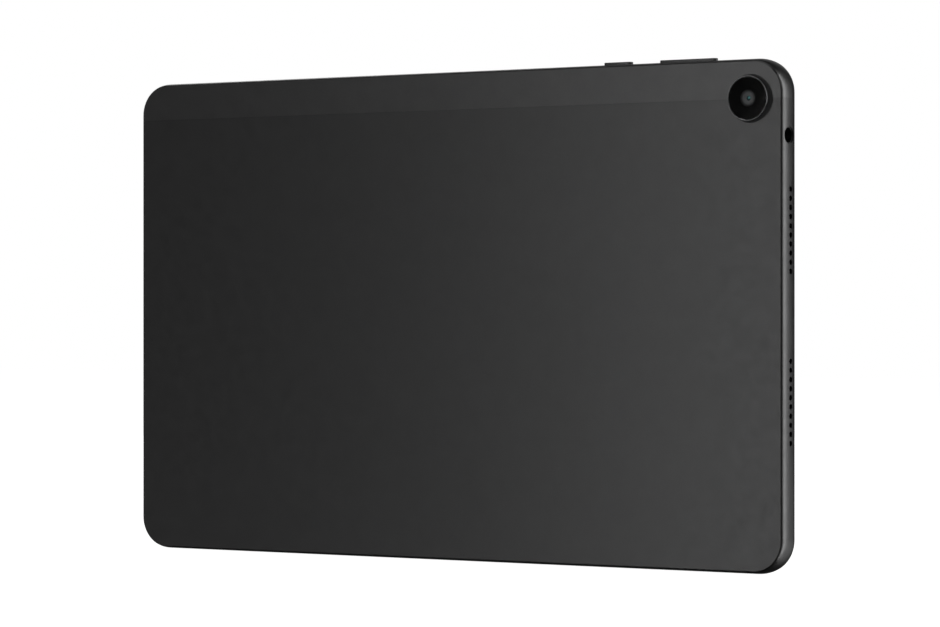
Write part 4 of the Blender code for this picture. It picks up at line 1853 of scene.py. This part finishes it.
@dataclass
class Boards:
    """The circuit boards with their chips, cans, small parts and screws."""

    part_half: Point3 = (0.5 * MM, 0.22 * MM, 0.28 * MM)
    edge: float = 1.4 * MM
    port_margin: float = 6 * MM
    screw_hole: float = 0.95 * MM
    screw_shank: float = 0.62 * MM
    screw_head: float = 0.5 * MM
    screw_chamfer: float = 0.16 * MM
    cross_reach: float = 0.75 * MM
    cross_arm: float = 0.16 * MM
    cross_depth: float = 0.3 * MM
    land: float = 1.9 * MM
    land_height: float = 0.03 * MM
    mark_inset: float = 1.3 * MM
    mark_radius: float = 0.45 * MM
    mark_depth: float = 0.06 * MM
    can_wall: float = 0.2 * MM
    vent_margin: float = 4 * MM
    vent_radius: float = 0.38 * MM
    vent_pitch: float = 2.1 * MM

    def screw_names(self, board: str) -> list[str]:
        """Return the nodes of a board's screws."""
        return [f"{board}_screw_{number + 1}" for number in range(SCREWS[board])]

    def screws(self, board: str) -> None:
        """Build a board's screws, each with a domed head and a cross recess.

        Args:
            board: the board's node.
        """
        names = self.screw_names(board)
        low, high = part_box(names[0])
        top, tip = high.y, low.y
        under = top - self.screw_head
        head, shank = (high.x - low.x) / 2, self.screw_shank
        section = [
            (0.4 * MM, tip), (shank, tip + 0.15 * MM), (shank, under), (head, under),
            (head, top - self.screw_chamfer), (head * 0.8, top),
        ]
        item = Skin().turn(section, Axis.Y, (0.0, 0.0), 20).item("screw")
        cross, arm = self.cross_reach, self.cross_arm
        outline = []
        for turn in range(4):
            along, aside = cos(QUARTER_TURN * turn), sin(QUARTER_TURN * turn)
            for u, v in ((cross, -arm), (cross, arm), (arm, arm)):
                outline.append((u * along - v * aside, u * aside + v * along))
        recess = Skin().push(outline, Axis.Y, top - self.cross_depth, top + self.cross_depth)
        carve(item, recess.item("cross"))
        places = [middle(name) for name in names]
        mesh = bpy.data.meshes.new("screw_places")
        mesh.from_pydata([(place.x, 0.0, place.z) for place in places], [], [])
        screws = grow(put(f"{board}_screws", mesh), set_at_points_recipe(), item=item)
        drop(item)
        hand_over(screws, SCREW, names)

    def mainboard(self) -> None:
        """Build the main board, drilled for its screws, with a bright land round each hole."""
        low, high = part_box("mainboard")
        board = Skin().slab(low, high, 1.5 * MM, 0.05 * MM).item("main_board")
        drills, lands = Skin(), Skin()
        hole, land, top = self.screw_hole, self.land, high.y + self.land_height
        ring = [(hole, high.y), (land, high.y), (land, top), (hole, top)]
        for name in self.screw_names("mainboard"):
            place = middle(name)
            centre = (place.x, place.z)
            drills.push(circle(centre, hole, 24), Axis.Y, low.y - MM, high.y + MM)
            lands.turn(ring, Axis.Y, centre, 24, hollow=True)
        carve(board, drills.item("board_drills"))
        hand_over(board, BOARD, ["mainboard"])
        hand_over(lands.item("screw_lands"), GOLD)

    def small_parts(self, board: str, name: str, seed: int, spacing: float) -> None:
        """Scatter capacitors and resistors over a board's component side.

        Args:
            board: the board's node.
            name: the piece's name.
            seed: the scatter's seed.
            spacing: the least distance between two parts.
        """
        low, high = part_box(board)
        (left, bottom), (right, top) = footprint(low, high, Axis.Y, -self.edge)
        if board == "usb_board":
            right = middle("usb_c_shell").x - self.port_margin
        corners = [(left, bottom), (right, bottom), (right, top), (left, top)]
        mesh = bpy.data.meshes.new(name)
        mesh.from_pydata([(u, high.y, v) for u, v in corners], [], [(0, 1, 2, 3)])
        half = Vector(self.part_half)
        part = Skin().block(Vector((-half.x, 0.0, -half.z)), half).item("small_part")
        parts = put(name, mesh)
        grow(parts, scatter_recipe(), item=part, spacing=spacing, seed=seed)
        drop(part)
        hand_over(parts, CERAMIC)

    def chip(self, node: str) -> None:
        """Build a chip with a chamfered body and a round mark in one corner.

        Args:
            node: the chip's node.
        """
        low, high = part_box(node)
        body = Skin().slab(low, high, 0.3 * MM, 0.08 * MM, 2).item(node + "_body")
        mark = circle((low.x + self.mark_inset, high.z - self.mark_inset), self.mark_radius, 20)
        cutter = Skin().push(mark, Axis.Y, high.y - self.mark_depth, high.y + MM).item("mark")
        hand_over(carve(body, cutter), CHIP, [node])

    def can(self, node: str) -> None:
        """Build a shielding can with round corners and rows of vents in its roof.

        Args:
            node: the can's node.
        """
        low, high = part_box(node)
        can = Skin().pan(low, high, self.can_wall, 0.8 * MM).item(node + "_can")
        across = int((high.x - low.x - self.vent_margin) / self.vent_pitch)
        down = int((high.z - low.z - self.vent_margin) / self.vent_pitch)
        centre = middle(node)
        outline = circle((centre.x, centre.z), self.vent_radius, 10)
        vent = Skin().push(outline, Axis.Y, high.y - MM, high.y + MM).item("vent")
        row(vent, across, (self.vent_pitch, 0.0, 0.0))
        row(vent, down, (0.0, 0.0, self.vent_pitch))
        hand_over(carve(can, vent), SHEET, [node])

    def build(self) -> None:
        """Build everything on the boards."""
        self.mainboard()
        dress("usb_board", BOARD)
        self.small_parts("mainboard", "main_board_parts", 3, 1.25 * MM)
        self.small_parts("usb_board", "side_board_parts", 8, 1.3 * MM)
        self.small_parts("battery_protection_board", "battery_board_parts", 5, 0.9 * MM)
        dress("battery_protection_board", BOARD)
        for board in SCREWS:
            self.screws(board)
        for node in ("processor", "memory_chip", "storage_chip"):
            self.chip(node)
        for node in ("processor_shield", "power_shield", "radio_shield"):
            self.can(node)


# Battery, frame and films


@dataclass
class Battery:
    """The two pouch cells and their lead.

    The profile is half a cell's section: shares of its half height, and of the flange's width.
    """

    flange: float = 1.5 * MM
    film: float = 0.12 * MM
    corner: float = 2.5 * MM
    tape_side: float = 3 * MM
    tape_start: float = 12 * MM
    tape_end: float = 5 * MM
    profile: tuple[Point2, ...] = (
        (1.0, 1.75), (0.93, 1.25), (0.7, 1.05), (0.1, 1.0), (0.045, 0.0),
    )

    def cell(self, node: str) -> None:
        """Build one cell: a soft pillow with a thin sealed flange at mid height.

        Args:
            node: the cell's node.
        """
        low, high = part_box(node)
        mid, half = (low.y + high.y) / 2, (high.y - low.y) / 2
        levels = [(-part, inset) for part, inset in self.profile] + [*reversed(self.profile)]
        tiers = [(mid + part * half, inset * self.flange, self.corner) for part, inset in levels]
        pillow = Skin().tiers(low, high, tiers, 6).item(node.replace("battery", "pouch"))
        hand_over(pillow, FOIL, [node])

    def tape(self) -> None:
        """Build the tape that wraps each cell's upper edge."""
        strips = Skin()
        for node in ("battery_cell_1", "battery_cell_2"):
            low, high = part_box(node)
            start = Vector((low.x + self.tape_side, high.y, high.z - self.tape_start))
            end = Vector((high.x - self.tape_side, high.y + self.film, high.z - self.tape_end))
            strips.slab(start, end, MM, 0.02 * MM)
        hand_over(strips.item("battery_tape"), TAPE)

    def build(self) -> None:
        """Build the battery."""
        self.cell("battery_cell_1")
        self.cell("battery_cell_2")
        self.tape()
        dress("battery_lead", FLEX)


@dataclass
class InnerFrame:
    """The magnesium plate, the heat spreader, the leads, the antennas and the key parts."""

    films: tuple[str, ...] = ("board_flex", "display_flex", "wifi_antenna", "location_antenna")
    dome_height: float = 0.25 * MM
    bracket_corner: float = 0.9 * MM
    bracket_hole: float = 0.55 * MM
    bracket_hole_inset: float = 1.3 * MM

    def switch(self, node: str) -> None:
        """Build one key switch: a moulded body with a round steel dome on top.

        Args:
            node: the switch's node.
        """
        low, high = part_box(node)
        centre, roof = middle(node), high.z - self.dome_height
        body = Skin().block(low, Vector((high.x, high.y, roof))).item(node + "_body")
        hand_over(soften(body, 0.12 * MM), MOULDED, [node])
        dome = [
            (0.95 * MM, roof - 0.05 * MM), (0.95 * MM, roof + 0.03 * MM),
            (0.7 * MM, roof + 0.15 * MM), (0.35 * MM, high.z - 0.02 * MM), (0.1 * MM, high.z),
        ]
        top = Skin().turn(dome, Axis.Z, (centre.x, centre.y), 24).item(node + "_dome")
        hand_over(top, SHEET)

    def bracket(self) -> None:
        """Build the key bracket, with rounded ends and a hole at each."""
        low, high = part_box("key_bracket")
        outline = rounded(*footprint(low, high, Axis.Z), self.bracket_corner)
        plate = Skin().push(outline, Axis.Z, low.z, high.z).item("key_bracket_plate")
        holes, inset = Skin(), self.bracket_hole_inset
        for x in (low.x + inset, high.x - inset):
            hole = circle((x, (low.y + high.y) / 2), self.bracket_hole, 20)
            holes.push(hole, Axis.Z, low.z - MM, high.z + MM)
        hand_over(carve(plate, holes.item("bracket_holes")), SHEET, ["key_bracket"])

    def build(self) -> None:
        """Dress the plate and films and build the key parts."""
        dress("chassis_plate", CAST)
        dress("graphite_sheet", GRAPHITE)
        for node in self.films:
            dress(node, FLEX)
        for node in ("power_switch", "volume_up_switch", "volume_down_switch"):
            self.switch(node)
        self.bracket()


# Ports and sound


@dataclass
class Ports:
    """The headphone and charging sockets, the microphone, the speakers and their meshes.

    The springs are places along the socket and sides of its bore. The cone is a section in
    millimetres, from its rim inward: how far in, and how high above its floor.
    """

    casing: Casing
    bore_radius: float = 1.8 * MM
    bore_depth: float = 3.4 * MM
    mouth_wall: float = 0.18 * MM
    mouth_lip: float = 0.02 * MM
    mouth_length: float = 0.6 * MM
    springs: tuple[tuple[float, int], ...] = (
        (3 * MM, -1), (6 * MM, 1), (9 * MM, -1), (11 * MM, 1),
    )
    spring_gap: float = 0.25 * MM
    spring_reach: float = 0.45 * MM
    spring_half_length: float = 0.6 * MM
    spring_sheet: float = 0.15 * MM
    spring_half_width: float = 0.4 * MM
    shell_wall: float = 0.28 * MM
    shell_lip: float = 0.1 * MM
    shell_floor: float = 1.2 * MM
    tongue_tip: float = 0.15 * MM
    contacts: int = 12
    contact_pitch: float = 0.5 * MM
    wire: float = 0.045 * MM
    wire_pitch: float = 0.16 * MM
    mesh_edge: float = 0.12 * MM
    contact_half: float = 0.13 * MM
    contact_sink: float = 0.02 * MM
    contact_rise: float = 0.03 * MM
    mic_port: float = 0.3 * MM
    nose_length: float = 4.05 * MM
    nose_depth: float = 5.9 * MM
    box_depth: float = 5.1 * MM
    cone_half: Point2 = (4.2 * MM, 10.5 * MM)
    cone_floor: float = 0.62 * MM
    pocket_depth: float = 0.6 * MM
    cone: tuple[Point2, ...] = (
        (0.05, 0.0), (0.05, 0.3), (0.35, 0.5), (0.8, 0.55), (1.2, 0.3), (1.3, 0.2),
        (1.35, 0.38), (2.6, 0.42),
    )

    def jack(self) -> None:
        """Build the headphone socket with its bore, bright mouth ring and spring contacts."""
        low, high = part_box("headphone_jack")
        axis = (self.casing.back - self.bore_depth, middle("headphone_jack").z)
        body = rounded(*footprint(low, high, Axis.X), 0.5 * MM)
        socket = Skin().push(body, Axis.X, low.x, high.x).item("headphone_socket")
        soften(socket, 0.15 * MM)
        radius = self.bore_radius
        bore = Skin().push(circle(axis, radius, 40), Axis.X, low.x - MM, high.x - MM)
        hand_over(carve(socket, bore.item("bore")), MOULDED, ["headphone_jack"])
        inner, start, end = radius - self.mouth_wall, low.x - self.mouth_lip, low.x + self.mouth_length
        ring = [(inner, start), (radius, start), (radius, end), (inner, end)]
        mouth = Skin().turn(ring, Axis.X, axis, 40, hollow=True)
        leaves, reach, half = Skin(), radius - self.spring_gap, self.spring_half_length
        for place, side in self.springs:
            start = low.x + place
            leaf = [
                (start, reach), (start + half, reach - self.spring_reach), (start + 2 * half, reach),
                (start + 2 * half, reach + self.spring_sheet), (start, reach + self.spring_sheet),
            ]
            outline = [(x, axis[1] + side * across) for x, across in leaf]
            width = self.spring_half_width
            leaves.push(outline, Axis.Y, axis[0] - width, axis[0] + width)
        hand_over(mouth.item("socket_mouth"), SHEET)
        hand_over(leaves.item("socket_springs"), GOLD)

    def charging_port(self) -> None:
        """Build the round-ended steel shell, the tongue and its two rows of contacts."""
        low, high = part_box("usb_c_shell")

        def stadium(grow_by: float) -> list[Point2]:
            """Return the shell's outline, made larger by a distance."""
            corners = footprint(low, high, Axis.X, grow_by)
            return rounded(*corners, (high.y - low.y) / 2 + grow_by, SLOT_STEPS)

        wall, lip = self.shell_wall, self.shell_lip
        levels = (
            (-wall, low.x + self.shell_floor), (-wall, high.x - lip), (-wall + lip, high.x),
            (-lip / 2, high.x), (0.0, high.x - lip / 2), (0.0, low.x + lip), (-lip, low.x),
        )
        shell = Skin().stack(Axis.X, [(stadium(by), x) for by, x in levels])
        hand_over(shell.item("charging_shell"), SHEET, ["usb_c_shell"])
        start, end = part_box("usb_c_tongue")
        tip = self.tongue_tip
        slim = rounded(*footprint(start, end, Axis.X, -tip), 0.1 * MM, 2)
        full = rounded(*footprint(start, end, Axis.X), 0.12 * MM, 2)
        tongue = Skin().stack(Axis.X, [(full, start.x), (full, end.x - 2 * tip), (slim, end.x)])
        hand_over(tongue.item("charging_tongue"), MOULDED, ["usb_c_tongue"])
        centre, half = middle("usb_c_tongue").z, self.contact_half
        pads = []
        for level, out in ((start.y, -1), (end.y, 1)):
            inner, outer = sorted((level - out * self.contact_sink, level + out * self.contact_rise))
            corner = Vector((start.x + 1.2 * MM, inner, centre - half))
            pad = Skin().block(corner, Vector((end.x - 0.7 * MM, outer, centre + half))).item("pad")
            pads.append(row(pad, self.contacts, (0.0, 0.0, self.contact_pitch)))
        hand_over(joined("charging_contacts", *pads), GOLD)

    def microphone(self) -> None:
        """Build the microphone's can with its port facing the hole in the side."""
        low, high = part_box("microphone")
        can = Skin().slab(low, high, 0.25 * MM, 0.12 * MM).item("microphone_can")
        centre = middle("microphone")
        outline = circle((centre.y, centre.z), self.mic_port, 16)
        port = Skin().push(outline, Axis.X, high.x - 0.4 * MM, high.x + MM).item("microphone_port")
        hand_over(carve(can, port), SHEET, ["microphone"])

    def speaker(self, name: str, side: int) -> None:
        """Build one speaker box with its nose, a pocket and the oval cone in it.

        Args:
            name: the end of the speaker's node.
            side: -1 or 1, the short side that its nose points to.
        """
        low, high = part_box(f"speaker_{name}")
        nose, inner = (high.x, low.x) if side > 0 else (low.x, high.x)
        step = side * (abs(nose) - self.nose_length)
        deep, shallow = self.casing.back - self.nose_depth, self.casing.back - self.box_depth
        section = [
            (nose, high.y), (nose, deep), (step, deep), (step, shallow), (inner, shallow),
            (inner, high.y),
        ]
        box = Skin().push(section, Axis.Z, low.z, high.z).item(f"speaker_box_{name}")
        soften(box, 0.3 * MM, 3)
        centre, (across, up) = middle(f"speaker_{name}"), self.cone_half

        def oval(shrink: float) -> list[Point2]:
            """Return the cone's outline, made smaller by a distance.

            Args:
                shrink: the distance.

            Returns:
                The outline.
            """
            left, bottom = centre.x - across + shrink, centre.z - up + shrink
            right, top = centre.x + across - shrink, centre.z + up - shrink
            return rounded((left, bottom), (right, top), across - shrink, SLOT_STEPS)

        pocket = Skin().push(oval(0.0), Axis.Y, high.y - self.pocket_depth, high.y + MM)
        hand_over(carve(box, pocket.item("pocket")), MOULDED, [f"speaker_{name}"])
        floor = high.y - self.cone_floor
        levels = [(oval(inset * MM), floor + rise * MM) for inset, rise in self.cone]
        hand_over(Skin().stack(Axis.Y, levels).item(f"speaker_cone_{name}"), RUBBER)

    def mesh(self, name: str) -> None:
        """Weave a dust mesh: two crossing rows of thin wires in a narrow frame.

        Args:
            name: the end of the mesh's node.
        """
        low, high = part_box(f"speaker_mesh_{name}")
        centre = (low + high) / 2
        wire, half, edge = self.wire / 2, (high - low) / 2, self.mesh_edge
        tall = Skin().block(
            Vector((centre.x - 3 * wire, centre.y - wire, low.z)),
            Vector((centre.x - wire, centre.y + wire, high.z)),
        ).item("tall_wire")
        wide = Skin().block(
            Vector((centre.x - wire, low.y, centre.z - wire)),
            Vector((centre.x + wire, high.y, centre.z + wire)),
        ).item("wide_wire")
        row(tall, int(2 * (half.y - edge) / self.wire_pitch), (0.0, self.wire_pitch, 0.0))
        row(wide, int(2 * (half.z - edge) / self.wire_pitch), (0.0, 0.0, self.wire_pitch))
        outside = rounded(*footprint(low, high, Axis.X), 0.4 * MM)
        inside = rounded(*footprint(low, high, Axis.X, -2 * edge), 0.2 * MM)
        levels = [(outside, low.x), (outside, high.x), (inside, high.x), (inside, low.x)]
        rim = Skin().stack(Axis.X, levels, hollow=True).item("rim")
        hand_over(joined(f"dust_mesh_{name}", tall, wide, rim), WIRE, [f"speaker_mesh_{name}"])

    def build(self) -> None:
        """Build the ports and the sound parts."""
        self.jack()
        self.charging_port()
        self.microphone()
        for name, side in SPEAKERS.items():
            self.speaker(name, side)
            self.mesh(name)


# Card tray


@dataclass
class CardTray:
    """The cage on the side board and the tray that slides out of it."""

    casing: Casing
    wall: float = 0.2 * MM
    back_wall: float = 0.3 * MM
    window_half: Point2 = (2.4 * MM, 0.7 * MM)
    window_pitch: float = 2.8 * MM
    windows: int = 4
    door_base: float = 121.5 * MM
    door_gap: float = 0.02 * MM
    door_edge: float = 0.05 * MM
    door_rings: tuple[float, ...] = (0.0, 0.08, 0.3, 0.55, 0.8, 0.97)
    plate_depth: Point2 = (2.55 * MM, 1.95 * MM)
    plate_margin: float = 0.45 * MM
    pocket_inset: float = 0.9 * MM
    pocket_end: float = 2.4 * MM
    half_rib: float = 0.35 * MM
    pin_radius: float = 0.4 * MM
    pin_depth: float = 2.4 * MM
    pin_offset: float = 4.4 * MM

    def cage(self) -> None:
        """Build the folded steel cage with spring windows in its roof."""
        low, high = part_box("card_reader")
        outside = rounded(*footprint(low, high, Axis.X), 0.25 * MM, 3)
        inside = rounded(*footprint(low, high, Axis.X, -self.wall), 0.1 * MM, 3)
        levels = [
            (inside, low.x + self.back_wall), (inside, high.x), (outside, high.x), (outside, low.x),
        ]
        cage = Skin().stack(Axis.X, levels).item("card_cage")
        centre, (across, up) = middle("card_reader"), self.window_half
        window = Skin().slab(
            Vector((centre.x - across, high.y - self.wall - 0.02 * MM, centre.z - up)),
            Vector((centre.x + across, high.y + MM, centre.z + up)),
            0.3 * MM, 0.01 * MM,
        ).item("window")
        carve(cage, row(window, self.windows, (0.0, 0.0, self.window_pitch)))
        hand_over(cage, SHEET, ["card_reader"])

    def door_place(self, y: float) -> float:
        """Return how far out the door's face lies, just inside the casing's side, at a place in Y.

        Args:
            y: the place.

        Returns:
            Where the face lies on X.
        """
        depth = min(max(self.casing.back - y, 0.0), self.casing.curve_depth)
        inset = self.casing.curve_at(acos(1 - depth / self.casing.curve_depth))
        return self.casing.half_width - inset - self.door_gap

    def tray(self) -> None:
        """Build the tray: a frame with two card pockets and a door that follows the side."""
        low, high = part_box("card_tray")
        start, end = (self.casing.back - depth for depth in self.plate_depth)
        bottom, top = low.z + self.plate_margin, high.z - self.plate_margin
        frame_high = Vector((self.door_base + 0.1 * MM, end, top))
        plate = Skin().slab(Vector((low.x, start, bottom)), frame_high, 0.6 * MM, 0.08 * MM)
        plate = plate.item("tray_plate")
        split, inset, rib = middle("card_tray").z, self.pocket_inset, self.half_rib
        pockets = Skin()
        for start_z, end_z in ((bottom + inset, split - rib), (split + rib, top - inset)):
            corners = (low.x + inset, start_z), (self.door_base - self.pocket_end, end_z)
            pockets.push(rounded(*corners, 0.5 * MM), Axis.Y, start - MM, end + MM)
        carve(plate, pockets.item("pockets"))
        radius = (high.y - low.y) / 2
        rings = [Axis.X.ring(rounded(*footprint(low, high, Axis.X), radius), self.door_base)]
        for shrink in self.door_rings:
            corners = footprint(low, high, Axis.X, -shrink * radius)
            edge = self.door_edge if shrink == 0.0 else 0.0
            outline = rounded(*corners, radius * (1 - shrink))
            rings.append([(self.door_place(y) - edge, y, z) for y, z in outline])
        front = Skin().loft(rings).item("tray_door")
        hole = circle((self.casing.back - self.pin_depth, split - self.pin_offset), self.pin_radius, 20)
        pin = Skin().push(hole, Axis.X, self.door_base + 0.4 * MM, high.x + MM)
        carve(front, pin.item("pin_hole"))
        hand_over(joined("sim_tray", plate, front), HOUSING, ["card_tray"], "tray")

    def build(self) -> None:
        """Build the cage and the tray."""
        self.cage()
        self.tray()


# Studio


@dataclass(frozen=True)
class SoftBox:
    """A rectangular studio light that faces the tablet.

    Azimuth turns from straight behind the back toward the jack side, and the size is in metres.
    """

    name: str
    azimuth: float
    elevation: float
    size: Point2
    power: float
    distance: float = 1.15

    def build(self, target: Vector) -> None:
        """Add the light.

        Args:
            target: the point that the light faces.
        """
        lamp = bpy.data.lights.new(self.name, "AREA")
        lamp.shape = "RECTANGLE"
        lamp.size, lamp.size_y = self.size
        lamp.energy = self.power
        turn, rise = radians(self.azimuth), radians(self.elevation)
        level = cos(rise)
        away = Vector((-sin(turn) * level, cos(turn) * level, sin(rise)))
        item = bpy.data.objects.new(self.name, lamp)
        item.location = target + away * self.distance
        item.rotation_euler = (-away).to_track_quat("-Z", "Y").to_euler()
        item.visible_camera = False
        bpy.context.scene.collection.objects.link(item)


@dataclass
class Studio:
    """A pale floor, soft boxes, a white surround and the camera."""

    eye: Point3 = (-0.6511, 0.9724, 0.0792)
    heading: Point3 = (0.5519, -0.8339, 0.0)
    lens: float = 139.6
    sensor: float = 36.0
    nearest: float = 0.01
    target: Point3 = (0.0, 0.0, 0.08)
    floor_half: float = 3.0
    floor_level: float = -0.02 * MM
    paper: Colour = (0.8, 0.8, 0.8)
    paper_glow: float = 0.985
    ambient: float = 0.02
    boxes: tuple[SoftBox, ...] = (
        SoftBox("back_key", -21, 0, (0.1, 1.2), 0.98),
        SoftBox("back_fill", 8, 0, (0.3, 1.2), 0.66),
        SoftBox("far_fill", -50, 0, (0.3, 1.2), 0.12),
        SoftBox("upper_fill", -32, 45, (0.9, 0.4), 0.45),
        SoftBox("low_back_fill", -51, -25, (0.5, 0.35), 0.2),
        SoftBox("camera_accent", 50, 26, (0.5, 0.3), 0.35),
        SoftBox("side_strip", 116, 0, (0.16, 2.4), 3.9),
        SoftBox("side_strip_far", 124, 0, (0.16, 2.4), 3.3),
        SoftBox("overhead", 0, 85, (0.8, 0.8), 0.8),
        SoftBox("port_side_fill", -99, 4, (0.4, 1.0), 1.5),
        SoftBox("port_front_fill", -135, 18, (0.5, 0.4), 0.6),
        SoftBox("front_card", 207, 12, (1.1, 1.1), 1.2),
        SoftBox("low_front_card", 148, -25, (0.5, 0.8), 0.55),
    )

    def camera(self) -> None:
        """Add the camera."""
        lens = bpy.data.cameras.new("camera")
        lens.lens = self.lens
        lens.sensor_width = self.sensor
        lens.clip_start = self.nearest
        item = bpy.data.objects.new("camera", lens)
        item.location = self.eye
        item.rotation_euler = Vector(self.heading).to_track_quat("-Z", "Y").to_euler()
        bpy.context.scene.collection.objects.link(item)
        bpy.context.scene.camera = item

    def surround(self) -> None:
        """Make the world white behind the tablet and dim in its reflections."""
        world = bpy.data.worlds.new("studio")
        world.use_nodes = True
        tree = world.node_tree
        light = tree.nodes["Background"]
        seen = tree.nodes.new("ShaderNodeLightPath")
        strength = tree.nodes.new("ShaderNodeMapRange")
        strength.inputs["To Min"].default_value = self.ambient
        strength.inputs["To Max"].default_value = 1.0
        tree.links.new(seen.outputs["Is Camera Ray"], strength.inputs["Value"])
        tree.links.new(strength.outputs["Result"], light.inputs["Strength"])
        light.inputs["Color"].default_value = (1.0, 1.0, 1.0, 1.0)
        bpy.context.scene.world = world

    def floor(self) -> None:
        """Add the pale floor, which keeps only the closest shadow."""
        corners = [(u * self.floor_half, v * self.floor_half, self.floor_level)
                   for u, v in ((-1, -1), (1, -1), (1, 1), (-1, 1))]
        mesh = bpy.data.meshes.new("floor")
        mesh.from_pydata(corners, [], [(0, 1, 2, 3)])
        floor = put("floor", mesh)
        graph = Graph("pale_paper")
        graph.drive("Base Color", (*self.paper, 1.0))
        graph.drive("Roughness", 0.9)
        graph.drive("Specular IOR Level", 0.0)
        seen = graph.add("LightPath", {}).outputs["Is Camera Ray"]
        strength = graph.add("Math", {0: seen, 1: self.paper_glow}, operation="MULTIPLY")
        glow = graph.add("Emission", {"Strength": strength.outputs[0]})
        both = graph.add("AddShader", {0: graph.shader.outputs[0], 1: glow.outputs[0]})
        surface = graph.tree.nodes["Material Output"].inputs["Surface"]
        graph.tree.links.new(both.outputs[0], surface)
        mesh.materials.append(graph.material)
        floor.visible_glossy = False
        floor.visible_shadow = False

    def build(self) -> None:
        """Set the studio up."""
        view = bpy.context.scene.view_settings
        view.view_transform = "Standard"
        view.look = "None"
        self.camera()
        self.surround()
        self.floor()
        for box in self.boxes:
            box.build(Vector(self.target))


def main() -> None:
    """Build the studio and every sub-assembly in order."""
    logging.basicConfig(level=logging.INFO, format="%(message)s")
    casing = Casing()
    sub_assemblies = (
        Studio(), casing, Keys(), Screen(casing), RearCamera(casing), Boards(), Battery(),
        InnerFrame(), Ports(casing), CardTray(casing),
    )
    for sub_assembly in sub_assemblies:
        sub_assembly.build()
        log.info("%s done", type(sub_assembly).__name__)


if __name__ == "__main__":
    main()
